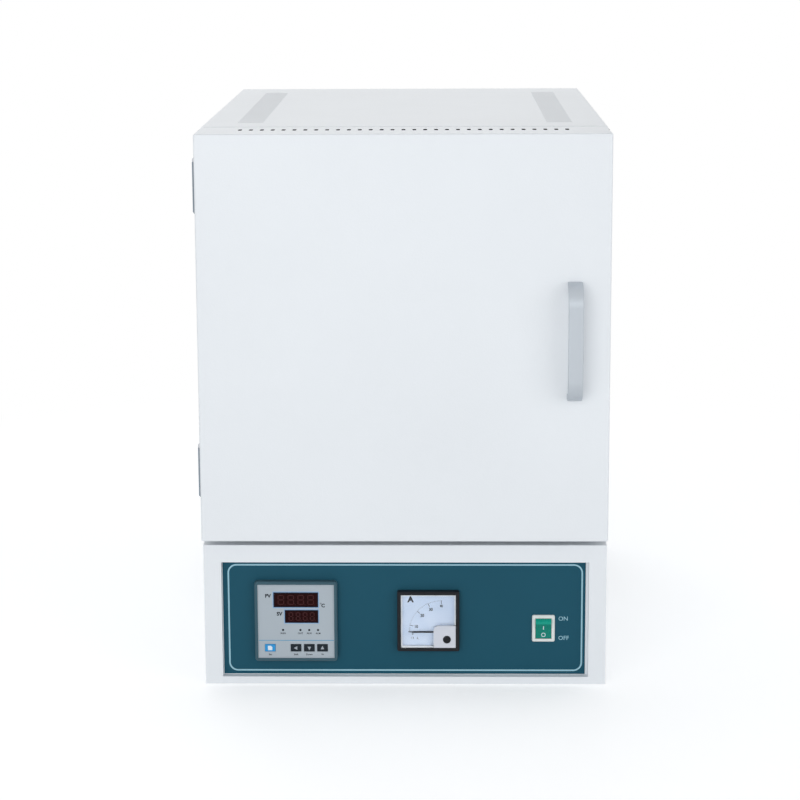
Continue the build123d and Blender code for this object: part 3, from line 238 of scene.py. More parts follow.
def build_drift_group():
    """A slow drift of one colour towards another."""
    inputs = (
        ("Colour", COLOUR, (0.8, 0.8, 0.8, 1.0)),
        ("Other Colour", COLOUR, (0.7, 0.7, 0.7, 1.0)),
        ("Scale", FLOAT, 4.0),
        ("Amount", FLOAT, 0.5),
        ("Stretch", VECTOR, EVEN),
    )
    made = shader_group("Tone drift", inputs, (("Colour", COLOUR), ("Mask", FLOAT)))
    slow = made.noise(made.place(made["Stretch"]), made["Scale"], 3.0, Roughness=0.5)
    mask = made.mask(slow, 0.3, 0.7)
    share = made.sum("MULTIPLY", mask, made["Amount"])
    made.close(Colour=made.blend(share, made["Colour"], made["Other Colour"]), Mask=mask)


def build_brush_group():
    """Fine lines left by a brush or a rolling mill."""
    made = shader_group("Brushed lines", (("Scale", FLOAT, 60.0), ("Stretch", VECTOR, (1.0, 1.0, 40.0))))
    place = made.place(made["Stretch"])
    fine = made.noise(place, made["Scale"], 4.0)
    slow = made.noise(place, made.sum("MULTIPLY", made["Scale"], 0.22), 2.0)
    made.close(Height=fine, Mask=made.mask(made.sum("MULTIPLY", fine, slow), 0.12, 0.42))


def build_pore_group():
    """Open pores and coarse grains of a fired brick."""
    made = shader_group("Fired pores", (("Scale", FLOAT, 300.0), ("Pore Size", FLOAT, 0.25)))
    place = made.place(EVEN)
    values = {"Vector": place, "Scale": made["Scale"], "Randomness": 1.0}
    cells = made.add("ShaderNodeTexVoronoi", values)
    grain = made.noise(place, made["Scale"], 5.0)
    pore = made.sum("LESS_THAN", cells.outputs["Distance"], made["Pore Size"])
    some = made.sum("GREATER_THAN", made.noise(place, 55.0, 2.0), 0.52)
    mask = made.sum("MULTIPLY", pore, some)
    made.close(Height=made.sum("SUBTRACT", grain, mask), Mask=mask)


def build_fibre_group():
    """Short matted fibres of an insulating board or rope."""
    made = shader_group("Matted fibres", (("Scale", FLOAT, 220.0),))
    place = made.place()
    layers = []
    for stretch in ((1.0, 0.12, 1.0), (0.12, 1.0, 0.6), (0.7, 1.0, 0.12)):
        layers.append(made.noise(made.vector("MULTIPLY", place, stretch), made["Scale"], 3.0, Distortion=1.2))
    top = made.sum("MAXIMUM", made.sum("MAXIMUM", layers[0], layers[1]), layers[2])
    made.close(Height=top, Mask=made.mask(top, 0.5, 0.72))


def build_dust_group():
    """A thin uneven layer of dust on faces that look up."""
    made = shader_group("Settled dust", (("Amount", FLOAT, 0.1),), (("Mask", FLOAT),))
    normal = made.add("ShaderNodeNewGeometry").outputs["Normal"]
    upward = made.add("ShaderNodeSeparateXYZ", {0: normal}).outputs["Z"]
    patches = made.noise(made.place(), 14.0, 6.0, Roughness=0.7)
    layer = made.sum("MULTIPLY", made.sum("MAXIMUM", upward, 0.0), patches)
    made.close(Mask=made.sum("MULTIPLY", layer, made["Amount"], True))


GROUP_BUILDERS = {
    "Fine grain": build_grain_group,
    "Tone drift": build_drift_group,
    "Brushed lines": build_brush_group,
    "Fired pores": build_pore_group,
    "Matted fibres": build_fibre_group,
    "Settled dust": build_dust_group,
}


class Finish(Wiring):
    """A material with its Principled shader, and short ways to wire the shared groups into it."""

    def __init__(self, name, **sockets):
        self.material = bpy.data.materials.new(name)
        self.material.use_nodes = True
        super().__init__(self.material.node_tree)
        self.shader = self.tree.nodes["Principled BSDF"]
        self.feed(**sockets)

    def feed(self, **sockets):
        """Sets or links the shader's inputs."""
        for label, value in sockets.items():
            self.fill(self.shader.inputs[label.replace("_", " ")], value)

    def group(self, name, **values):
        """A shared group, placed with this material's own values."""
        if name not in bpy.data.node_groups:
            GROUP_BUILDERS[name]()
        values = {label.replace("_", " "): value for label, value in values.items()}
        return self.add("ShaderNodeGroup", values, node_tree=bpy.data.node_groups[name])

    def drift(self, colour, other, scale, amount, stretch=EVEN):
        """A colour that drifts slowly towards another."""
        return self.group(
            "Tone drift", Colour=colour, Other_Colour=other, Scale=scale, Amount=amount, Stretch=stretch
        )

    def between(self, mask, low, high):
        """A mask turned into a number between low and high."""
        return self.add("ShaderNodeMapRange", {"Value": mask, "To Min": low, "To Max": high}, clamp=True)

    def bump(self, height, strength, distance):
        """Raises the surface by a height, on top of any bump that is there."""
        node = self.add("ShaderNodeBump", {"Height": height, "Strength": strength, "Distance": distance})
        if self.shader.inputs["Normal"].links:
            self.fill(node.inputs["Normal"], self.shader.inputs["Normal"].links[0].from_socket)
        self.feed(Normal=node)

    def grain(self, scale, detail, rough, strength, distance):
        """A fine grain in the bump, and in the roughness where a range is given."""
        grain = self.group("Fine grain", Scale=scale, Detail=detail)
        if rough:
            self.feed(Roughness=self.between(grain.outputs["Mask"], *rough))
        self.bump(grain.outputs["Height"], strength, distance)


def within_mask(made, low, high):
    """1 between two corners and 0 outside them."""
    reach = (high - low) / 2
    away = made.vector("ABSOLUTE", made.vector("SUBTRACT", made.place(), (low + high) / 2))
    parts = made.add("ShaderNodeSeparateXYZ", {0: away})
    within = [made.sum("LESS_THAN", parts.outputs[axis], reach[axis]) for axis in range(3)]
    return made.sum("MULTIPLY", made.sum("MULTIPLY", within[0], within[1]), within[2])


def enamel_finish(name, colour, dusty, painted_shade_boxes=()):
    """Powder coat with orange peel, a slow drift of tone, a trace of dust, and painted shade, near black,
    inside the given boxes.
    """
    made = Finish(name, Roughness=0.42, IOR=1.5)
    drift = made.drift(colour, shade(colour, 0.955), 5.0, 0.6)
    coat = made.blend(made.group("Settled dust", Amount=dusty), drift, screen(176, 172, 164))
    # painted shade: inside each given box the coat turns near black, standing in for shade
    for low, high in painted_shade_boxes:
        coat = made.blend(within_mask(made, low, high), coat, screen(30, 32, 36))
    made.feed(Base_Color=coat)
    made.grain(420.0, 1.5, (0.38, 0.47), 0.16, 0.0006)
    made.grain(2600.0, 1.0, None, 0.05, 0.0001)


def plastic_finish(name, colour, rough, grain=900.0, strength=0.12, coat=0.0, gloss=0.2, other=None, highlight_from=0.0):
    """Moulded plastic with its fine tool grain, and a painted highlight in a lighter colour above a height when
    one is given.
    """
    made = Finish(
        name, Roughness=rough, IOR=1.49, Specular_IOR_Level=gloss, Coat_Weight=coat, Coat_Roughness=0.08
    )
    base = made.drift(colour, shade(colour, 0.86), 24.0, 0.45)
    # painted highlight: above the given height the other colour stands in for light on the upper face
    if other:
        height = made.add("ShaderNodeSeparateXYZ", {0: made.place()}).outputs["Z"]
        base = made.blend(made.sum("GREATER_THAN", height, highlight_from), base, other)
    made.feed(Base_Color=base)
    made.grain(grain, 2.0, (max(0.02, rough - 0.06), rough + 0.06), strength, 0.0002)


def metal_finish(name, colour, rough, stretch, scale=60.0, contrast=0.82, strength=0.08):
    """Brushed or rolled metal."""
    made = Finish(name, Metallic=1.0, Roughness=rough)
    lines = made.group("Brushed lines", Scale=scale, Stretch=stretch).outputs
    made.feed(
        Base_Color=made.blend(lines["Mask"], shade(colour, contrast), colour),
        Roughness=made.between(lines["Mask"], rough + 0.08, max(0.03, rough - 0.05)),
    )
    made.bump(lines["Height"], strength, 0.0001)


def handle_finish(name):
    """Satin grey coat of the handle, brushed along its length."""
    made = Finish(name, Metallic=0.35, Roughness=0.4)
    lines = made.group("Brushed lines", Scale=120.0, Stretch=(12.0, 12.0, 0.6)).outputs
    made.feed(
        Base_Color=made.drift(screen(192, 199, 206), screen(178, 185, 192), 30.0, 0.6, (1.0, 1.0, 0.1)),
        Roughness=made.between(lines["Mask"], 0.46, 0.34),
    )
    made.bump(lines["Height"], 0.05, 0.0001)


def zinc_finish(name):
    """Galvanised sheet with its spangles."""
    made = Finish(name, Metallic=0.9)
    cells = made.add("ShaderNodeTexVoronoi", {"Vector": made.place(), "Scale": 160.0})
    spangle = made.add("ShaderNodeSeparateColor", {0: cells.outputs["Color"]})
    made.feed(Base_Color=made.blend(spangle, screen(150, 154, 158), screen(196, 199, 203)))
    made.grain(700.0, 3.0, None, 0.1, 0.0002)
    made.feed(Roughness=made.between(spangle, 0.34, 0.56))


def brick_finish(name, colour, pore, scale, rough=0.95, strength=0.55):
    """Fired refractory: warm drift of tone, dark pores and a rough skin."""
    made = Finish(name, Roughness=rough)
    drift = made.drift(colour, shade(colour, 0.82), 18.0, 0.8)
    pores = made.group("Fired pores", Scale=scale, Pore_Size=pore).outputs
    made.feed(Base_Color=made.blend(pores["Mask"], drift, shade(colour, 0.5)))
    made.bump(pores["Height"], strength, 0.0008)


def fibre_finish(name, colour):
    """Matted ceramic fibre."""
    made = Finish(name, Roughness=0.95, Sheen_Weight=0.2)
    fibres = made.group("Matted fibres", Scale=260.0).outputs
    made.feed(Base_Color=made.blend(fibres["Mask"], shade(colour, 0.86), colour))
    made.bump(fibres["Height"], 0.5, 0.0006)


def film_finish(name, colour):
    """Printed polyester film with a satin skin."""
    made = Finish(name, IOR=1.57, Specular_IOR_Level=0.12)
    made.feed(Base_Color=made.drift(colour, shade(colour, 0.84), 7.0, 0.5))
    made.grain(1800.0, 2.0, (0.38, 0.5), 0.08, 0.0001)


def ink_finish(name, colour, rough=0.5):
    """Screen-printed ink, a little uneven in its cover."""
    made = Finish(name, Roughness=rough, Specular_IOR_Level=0.2)
    cover = made.group("Fine grain", Scale=2400.0, Detail=3.0).outputs
    made.feed(Base_Color=made.blend(cover["Mask"], shade(colour, 0.88), colour))
    made.bump(cover["Height"], 0.05, 0.0001)


def oxide_finish(name):
    """Resistance wire with the grey oxide of many firings."""
    made = Finish(name, Metallic=0.65)
    made.feed(Base_Color=made.drift(screen(104, 98, 92), screen(62, 54, 50), 60.0, 0.9))
    made.grain(1500.0, 4.0, (0.42, 0.68), 0.3, 0.0002)


def glass_finish(name):
    """Clear moulded cover over the dial."""
    made = Finish(name, IOR=1.2, Transmission_Weight=1.0)
    haze = made.group("Fine grain", Scale=60.0, Detail=2.0).outputs["Mask"]
    made.feed(
        Base_Color=made.blend(haze, (0.94, 0.96, 0.98, 1.0), WHITE), Roughness=made.between(haze, 0.02, 0.05)
    )


def window_finish(name, colour):
    """Dark red filter in front of the unlit digits."""
    made = Finish(name, IOR=1.5, Specular_IOR_Level=0.06)
    skin = made.group("Fine grain", Scale=500.0, Detail=2.0).outputs["Mask"]
    made.feed(
        Base_Color=made.drift(colour, shade(colour, 0.6), 120.0, 0.7), Roughness=made.between(skin, 0.24, 0.36)
    )


FINISHED_NODES = {
    "white enamel": (
        "side_panel_left side_panel_right top_panel rear_panel service_cover bay_roof control_fascia"
        " front_frame control_panel"
    ),
    "door enamel": "door_shell",
    "panel film": "panel_overlay",
    "controller film": "controller_face",
    "bezel plastic": "controller_bezel",
    "black plastic": (
        "controller_housing meter_case zero_screw meter_needle magnetic_catch safety_switch power_module"
        " cable_gland"
    ),
    "key plastic": "key_left key_down key_up",
    "set key plastic": "key_set",
    "display window": "pv_display sv_display",
    "dial card": "meter_dial",
    "shroud plastic": "meter_shroud",
    "clear cover": "meter_cover",
    "white plastic": "switch_housing safety_plunger",
    "rocker plastic": "rocker",
    "terminal plastic": "terminal_block",
    "firebrick": "mouth_bricks chamber_floor chamber_roof chamber_back element_plates",
    "door brick": "door_plug",
    "hearth carbide": "hearth_plate",
    "fibre board": "insulation_boards door_insulation",
    "fibre rope": "door_gasket",
    "porcelain": "thermocouple element_bushings",
    "terminal brass": "element_clamps",
    "zinc sheet": "base_tray core_case core_stands catch_strike",
    "stainless sheet": "door_liner",
    "hinge chrome": "hinge_body_leaves hinge_door_leaves hinge_pins",
    "screw zinc": "cabinet_screws door_screws",
    "sink aluminium": "heat_sink",
    "handle coat": "door_handle",
}


def finish(name):
    """The material of that name, which the finishes operator has made."""
    found = bpy.data.materials.get(name)
    if found is None:
        raise RuntimeError(f"run the finishes first: there is no {name}")
    return found


def dress(node, name):
    """Gives a finish to a CAD node."""
    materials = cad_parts[node].data.materials
    if materials:
        materials[0] = finish(name)
    else:
        materials.append(finish(name))


def settle(name, mesh, body, material):
    """Makes a finished mesh a piece that rides on a body."""
    piece = bpy.data.objects.new(name, mesh)
    bpy.context.scene.collection.objects.link(piece)
    mesh.materials.clear()
    mesh.materials.append(finish(material))
    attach(piece, body)
    return piece


def front_of(node):
    """The middle of the front face of a CAD node's box, and half its size in millimetres."""
    low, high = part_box(node)
    middle = (low + high) / 2
    return Vector((middle.x, low.y, middle.z)), (high - low) / 2 / MM


def evaluated_mesh(name, data, tree=None, values=()):
    """The plain mesh that a curve, a text or a grown tree gives."""
    carrier = bpy.data.objects.new(name, data)
    bpy.context.scene.collection.objects.link(carrier)
    if tree:
        modifier = carrier.modifiers.new("Growth", "NODES")
        modifier.node_group = tree
        items = tree.interface.items_tree
        names = {item.name: item.identifier for item in items if item.in_out == "INPUT"}
        for label, value in values.items():
            modifier[names[label]] = value
        carrier.update_tag()
    bpy.context.view_layer.update()
    mesh = bpy.data.meshes.new_from_object(carrier.evaluated_get(bpy.context.evaluated_depsgraph_get()))
    if not mesh.polygons:
        raise RuntimeError(f"{name} came out empty")
    if tree:
        carrier.modifiers.remove(modifier)
    bpy.data.objects.remove(carrier)
    mesh.name = name
    return mesh


def arc(x, z, radius, first, last, steps):
    """Points of an arc in X and Z between two angles, both ends with it."""
    turns = [first + (last - first) * step / steps for step in range(steps + 1)]
    return [(x + radius * math.cos(turn), z + radius * math.sin(turn)) for turn in turns]


def circle(x, z, radius, steps):
    """Points of a full circle in X and Z."""
    return arc(x, z, radius, 0.0, 2 * math.pi, steps)[:-1]


def corner_outline(*corners):
    """Points of an outline in X and Z whose right-angled corners have their own radii."""
    points = []
    for rank, (x, z, radius) in enumerate(corners):
        here = Vector((x, z))
        to_last = (Vector(corners[rank - 1][:2]) - here).normalized()
        to_next = (Vector(corners[(rank + 1) % len(corners)][:2]) - here).normalized()
        if radius <= 0.0:
            points.append(tuple(here))
            continue
        centre = here + (to_last + to_next) * radius
        for step in range(9):
            turn = math.pi / 2 * step / 8
            points.append(tuple(centre - (to_next * math.cos(turn) + to_last * math.sin(turn)) * radius))
    return points


def plate_mesh(name, outlines, front, back, soft=0.1 * MM):
    """A plate between two depths with softened edges: the first outline is its rim, the others are holes."""
    curve = bpy.data.curves.new(name, "CURVE")
    curve.dimensions = "2D"
    curve.fill_mode = "BOTH"
    curve.extrude = (back - front) / 2 - soft
    curve.bevel_depth = soft
    curve.bevel_resolution = 1
    curve.offset = -soft
    for outline in outlines:
        add_spline(curve, [(x, z, 0.0) for x, z in outline], True)
    mesh = evaluated_mesh(name, curve)
    bpy.data.curves.remove(curve)
    mesh.transform(Matrix.Translation((0.0, (front + back) / 2, 0.0)) @ Matrix.Rotation(math.pi / 2, 4, "X"))
    solid = bmesh.new()
    solid.from_mesh(mesh)
    bmesh.ops.remove_doubles(solid, verts=solid.verts, dist=0.000001)
    bmesh.ops.recalc_face_normals(solid, faces=solid.faces)
    solid.to_mesh(mesh)
    solid.free()
    return mesh


def add_spline(curve, points, closed):
    """Adds a path of straight pieces to a curve."""
    spline = curve.splines.new("POLY")
    spline.points.add(len(points) - 1)
    for spot, place in zip(spline.points, points):
        spot.co = (*place, 1.0)
    spline.use_cyclic_u = closed


def path_curve(name, points, closed):
    """A path in space."""
    curve = bpy.data.curves.new(name, "CURVE")
    curve.dimensions = "3D"
    add_spline(curve, points, closed)
    return curve


def turned_mesh(name, profile, places, steps=40):
    """The same turned piece at each place: a profile of radius and height round an upright axis."""
    solid = bmesh.new()
    for place in places:
        rings = []
        for radius, height in profile:
            spots = circle(place.x, place.y, radius, steps if radius > 0.0 else 1)
            rings.append([solid.verts.new((x, y, place.z + height)) for x, y in spots])
        for lower, upper in zip(rings, rings[1:]):
            for step in range(steps):
                after = (step + 1) % steps
                corners = [lower[step % len(lower)], lower[after % len(lower)]]
                corners += [upper[after % len(upper)], upper[step % len(upper)]]
                solid.faces.new(list(dict.fromkeys(corners)))
    bmesh.ops.recalc_face_normals(solid, faces=solid.faces)
    mesh = bpy.data.meshes.new(name)
    solid.to_mesh(mesh)
    solid.free()
    return mesh


class Print:
    """Flat marks on one printed level that faces the front. Measures are millimetres from a spot on it."""

    def __init__(self, spot):
        self.spot = spot
        self.cover = bmesh.new()

    def vert(self, x, z):
        """A point of the print."""
        return self.cover.verts.new((self.spot.x + x * MM, self.spot.y - INK_LIFT, self.spot.z + z * MM))

    def polygon(self, corners):
        """One filled outline, given as X and Z."""
        self.cover.faces.new([self.vert(x, z) for x, z in corners])

    def bar(self, x, z, width, height, turn=0.0, parts=1):
        """A straight bar about its middle, turned anticlockwise, cut across in parts."""
        sine, cosine = math.sin(turn), math.cos(turn)
        for rank in range(parts):
            low = -height / 2 + height * rank / parts
            high = low + height / parts
            corners = ((-width / 2, low), (width / 2, low), (width / 2, high), (-width / 2, high))
            self.polygon([(x + a * cosine - b * sine, z + a * sine + b * cosine) for a, b in corners])

    def disc(self, x, z, radius, steps=24):
        """A filled spot."""
        self.polygon(circle(x, z, radius, steps))

    def band(self, inner, outer):
        """The strip between two outlines with the same number of points."""
        rings = [[self.vert(x, z) for x, z in outline] for outline in (inner, outer)]
        for rank in range(len(inner)):
            after = (rank + 1) % len(inner)
            self.cover.faces.new((rings[0][rank], rings[1][rank], rings[1][after], rings[0][after]))

    def ring(self, x, z, radius, width):
        """A circle drawn as a line."""
        self.band(circle(x, z, radius - width, 32), circle(x, z, radius, 32))

    def frame(self, x, z, half_width, half_height, corner, width):
        """A rectangle with round corners about its middle, drawn as a line inside its limits."""
        outlines = []
        for inset in (width, 0.0):
            radius = max(corner - inset, 0.01)
            bend = max(corner, inset)
            outline = []
            for rank, (across, up) in enumerate(((1, 1), (-1, 1), (-1, -1), (1, -1))):
                middle_x, middle_z = x + across * (half_width - bend), z + up * (half_height - bend)
                first = math.pi / 2 * rank
                outline += arc(middle_x, middle_z, radius, first, first + math.pi / 2, 8)
            outlines.append(outline)
        self.band(*outlines)

    def words(self, words, x, z, height, align=0.0, bold=0.0, narrow=1.0):
        """Words of a given height about their middle: align -1 keeps x at the left, 1 at the right."""
        curve = bpy.data.curves.new("words", "FONT")
        curve.body = words
        curve.offset = bold
        curve.resolution_u = 3
        mesh = evaluated_mesh("words", curve)
        bpy.data.curves.remove(curve)
        spots = [vert.co.copy() for vert in mesh.vertices]
        low, high = min(spot.y for spot in spots), max(spot.y for spot in spots)
        left, right = min(spot.x for spot in spots), max(spot.x for spot in spots)
        scale = height / (high - low)
        middle = (left + right) / 2 + align * (right - left) / 2
        verts = [
            self.vert(x + (spot.x - middle) * scale * narrow, z + (spot.y - (low + high) / 2) * scale)
            for spot in spots
        ]
        for face in mesh.polygons:
            self.cover.faces.new([verts[index] for index in face.vertices])
        bpy.data.meshes.remove(mesh)

    def digit(self, x, z, width, height, line):
        """The seven segments of one unlit digit."""
        arm, joint_gap = height / 2 - line * 1.3, 2.2 * line
        for rise in (-1, 0, 1):
            self.bar(x, z + rise * (height - line) / 2, width - joint_gap, line)
            for side in (-1, 1):
                if rise:
                    self.bar(x + side * (width - line) / 2, z + rise * height / 4, line, arm)

    def lay_on(self, node, lift=0.04 * MM):
        """Moves each point of the print back onto the surface of a CAD node."""
        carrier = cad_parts[node]
        for vert in self.cover.verts:
            start = Vector((vert.co.x, -1.0, vert.co.z))
            hit, spot, _normal, _face = carrier.ray_cast(start, Vector((0.0, 1.0, 0.0)))
            if not hit:
                raise RuntimeError(f"a printed mark lies beside {node}")
            vert.co.y = spot.y - lift

    def done(self, name, body, material):
        """The marks as one thin piece."""
        mesh = bpy.data.meshes.new(name)
        bmesh.ops.recalc_face_normals(self.cover, faces=self.cover.faces)
        for face in self.cover.faces:
            if face.normal.y > 0:
                face.normal_flip()
        self.cover.to_mesh(mesh)
        self.cover.free()
        solid = settle(name, mesh, body, material).modifiers.new("Ink thickness", "SOLIDIFY")
        solid.thickness = INK_THICKNESS
        solid.offset = -1.0


class GrowthTree(Group):
    """A geometry tree that takes a piece and named sizes and ends with plain finished geometry."""

    def __init__(self, name, *inputs):
        inputs = (("Geometry", GEOMETRY, None), *inputs, ("Material", MATERIAL, None))
        super().__init__(name, "GeometryNodeTree", inputs, (("Geometry", GEOMETRY),))

    def tube(self, path, section, **others):
        """A section swept along a path."""
        return self.add("GeometryNodeCurveToMesh", {"Curve": path, "Profile Curve": section, **others})

    def round_section(self, radius, steps=6):
        """A circle to sweep."""
        return self.add("GeometryNodeCurvePrimitiveCircle", {"Resolution": steps, "Radius": radius})

    def moved(self, geometry, offset):
        """Geometry whose points move by their own offsets."""
        return self.add("GeometryNodeSetPosition", {"Geometry": geometry, "Offset": offset})

    def shifted(self, geometry, x, y, z):
        """Geometry moved as a whole."""
        values = {"Geometry": geometry, "Translation": self.joined(x, y, z)}
        return self.add("GeometryNodeTransform", values)

    def join(self, *pieces):
        """Pieces joined into one."""
        node = self.tree.nodes.new("GeometryNodeJoinGeometry")
        for piece in pieces:
            self.fill(node.inputs[0], piece)
        return node

    def curve_offset(self, angle, first_reach, second_reach):
        """An offset across a path: its normal by a cosine and its side by a sine."""
        normal = self.add("GeometryNodeInputNormal")
        side = self.vector("CROSS_PRODUCT", self.add("GeometryNodeInputTangent"), normal)
        parts = []
        for direction, operation, reach in ((normal, "COSINE", first_reach), (side, "SINE", second_reach)):
            share = self.sum("MULTIPLY", self.sum(operation, angle), reach)
            values = {0: direction, "Scale": share}
            parts.append(self.add("ShaderNodeVectorMath", values, operation="SCALE"))
        return self.vector("ADD", *parts)

    def finished(self, geometry):
        """Ends the tree and returns it."""
        real = self.add("GeometryNodeRealizeInstances", {"Geometry": geometry})
        values = {"Geometry": real, "Material": self["Material"]}
        self.close(Geometry=self.add("GeometryNodeSetMaterial", values))
        return self.tree


def build_coil_tree():
    """A wire wound round a path."""
    made = GrowthTree(
        "Wound wire",
        ("Coil Radius", FLOAT, 4.0 * MM),
        ("Wire Radius", FLOAT, 1.0 * MM),
        ("Pitch", FLOAT, 3.0 * MM),
        ("Steps", WHOLE, 12),
    )
    step = made.sum("DIVIDE", made["Pitch"], made["Steps"])
    line = made.add("GeometryNodeResampleCurve", {"Curve": made["Geometry"], "Length": step}, mode="LENGTH")
    turns = made.sum("DIVIDE", made.add("GeometryNodeInputIndex"), made["Steps"])
    angle = made.sum("MULTIPLY", turns, 2 * math.pi)
    wound = made.moved(line, made.curve_offset(angle, made["Coil Radius"], made["Coil Radius"]))
    return made.finished(made.tube(wound, made.round_section(made["Wire Radius"]), **{"Fill Caps": True}))


def build_rope_tree():
    """Strands plaited round a flat core along a closed path."""
    steps, most_strands = 900, 12
    made = GrowthTree(
        "Plaited rope",
        ("Half Width", FLOAT, 7.0 * MM),
        ("Half Thickness", FLOAT, 2.6 * MM),
        ("Strand Radius", FLOAT, 0.8 * MM),
        ("Turns", WHOLE, 40),
        ("Strands", WHOLE, 5),
    )
    line = made.add("GeometryNodeResampleCurve", {"Curve": made["Geometry"], "Count": steps})
    halves = (made["Half Width"], made["Half Thickness"])
    reach = [made.sum("SUBTRACT", half, made["Strand Radius"]) for half in halves]
    along = made.sum("DIVIDE", made.add("GeometryNodeInputIndex"), float(steps))
    section = made.round_section(made["Strand Radius"])
    pieces = []
    for hand in (-1.0, 1.0):
        turned = made.sum("MULTIPLY", made.sum("MULTIPLY", along, made["Turns"]), hand)
        for strand in range(most_strands):
            phase = made.sum("DIVIDE", float(strand), made["Strands"])
            angle = made.sum("MULTIPLY", made.sum("ADD", turned, phase), 2 * math.pi)
            tube = made.tube(made.moved(line, made.curve_offset(angle, *reach)), section)
            used = made.sum("GREATER_THAN", made["Strands"], strand + 0.5)
            pieces.append(made.add("GeometryNodeSwitch", {"Switch": used, "True": tube}, input_type="GEOMETRY"))
    values = {"Geometry": made.round_section(1.0, 16), "Scale": made.joined(*reach, 1.0)}
    pieces.append(made.tube(line, made.add("GeometryNodeTransform", values)))
    return made.finished(made.join(*pieces))


def build_screw_tree():
    """Pan-head screws with a cross recess, one at each point, facing where the point says."""
    made = GrowthTree(
        "Pan head screws",
        ("Head Radius", FLOAT, 3.6 * MM),
        ("Head Height", FLOAT, 1.8 * MM),
        ("Shank Radius", FLOAT, 1.8 * MM),
        ("Shank Length", FLOAT, 5.0 * MM),
        ("Seed", WHOLE, 7),
    )
    radius, height = made["Head Radius"], made["Head Height"]

    def part_of(size, share):
        return made.sum("MULTIPLY", size, share)

    wall = part_of(height, 0.72)
    values = {"Vertices": 28, "Side Segments": 3, "Fill Segments": 4, "Depth": wall}
    values |= {"Radius Top": part_of(radius, 0.8), "Radius Bottom": radius}
    head = made.add("GeometryNodeMeshCone", values)
    parts = made.add("ShaderNodeSeparateXYZ", {0: made.add("GeometryNodeInputPosition")}).outputs
    away = made.vector("LENGTH", made.joined(parts[0], parts[1], 0.0)).outputs["Value"]
    share = made.sum("DIVIDE", away, radius)
    dome = made.sum("SUBTRACT", 1.0, made.sum("MULTIPLY", share, share))
    crown = made.sum("MULTIPLY", dome, part_of(height, 0.28))
    on_top = made.sum("GREATER_THAN", parts[2], part_of(wall, 0.5))
    domed = made.moved(head.outputs["Mesh"], made.joined(0.0, 0.0, made.sum("MULTIPLY", crown, on_top)))
    long_side, short_side, deep = part_of(radius, 1.05), part_of(radius, 0.24), part_of(height, 1.3)
    blocks = []
    for first, second in ((long_side, short_side), (short_side, long_side)):
        block = made.add("GeometryNodeMeshCube", {"Size": made.joined(first, second, deep)})
        blocks.append(made.shifted(block, 0.0, 0.0, height))
    values = {"Mesh 1": domed, "Mesh 2": made.join(*blocks), "Self Intersection": True}
    cut = made.add("GeometryNodeMeshBoolean", values, operation="DIFFERENCE", solver="EXACT")
    values = {"Vertices": 16, "Radius": made["Shank Radius"], "Depth": made["Shank Length"]}
    shank = made.add("GeometryNodeMeshCylinder", values)
    whole = made.join(cut, made.shifted(shank, 0.0, 0.0, part_of(made["Shank Length"], -0.5)))
    facing = made.add("GeometryNodeInputNamedAttribute", {"Name": "facing"}, data_type="FLOAT_VECTOR")
    aimed = made.add("FunctionNodeAlignRotationToVector", {"Vector": facing.outputs["Attribute"]}, axis="Z")
    spin = made.add("FunctionNodeRandomValue", {"Max": math.pi, "Seed": made["Seed"]}, data_type="FLOAT")
    values = {"Rotation": aimed, "Rotate By": made.joined(0.0, 0.0, spin.outputs["Value"])}
    turned = made.add("FunctionNodeRotateRotation", values, rotation_space="LOCAL")
    values = {"Points": made["Geometry"], "Instance": whole, "Rotation": turned}
    return made.finished(made.add("GeometryNodeInstanceOnPoints", values))


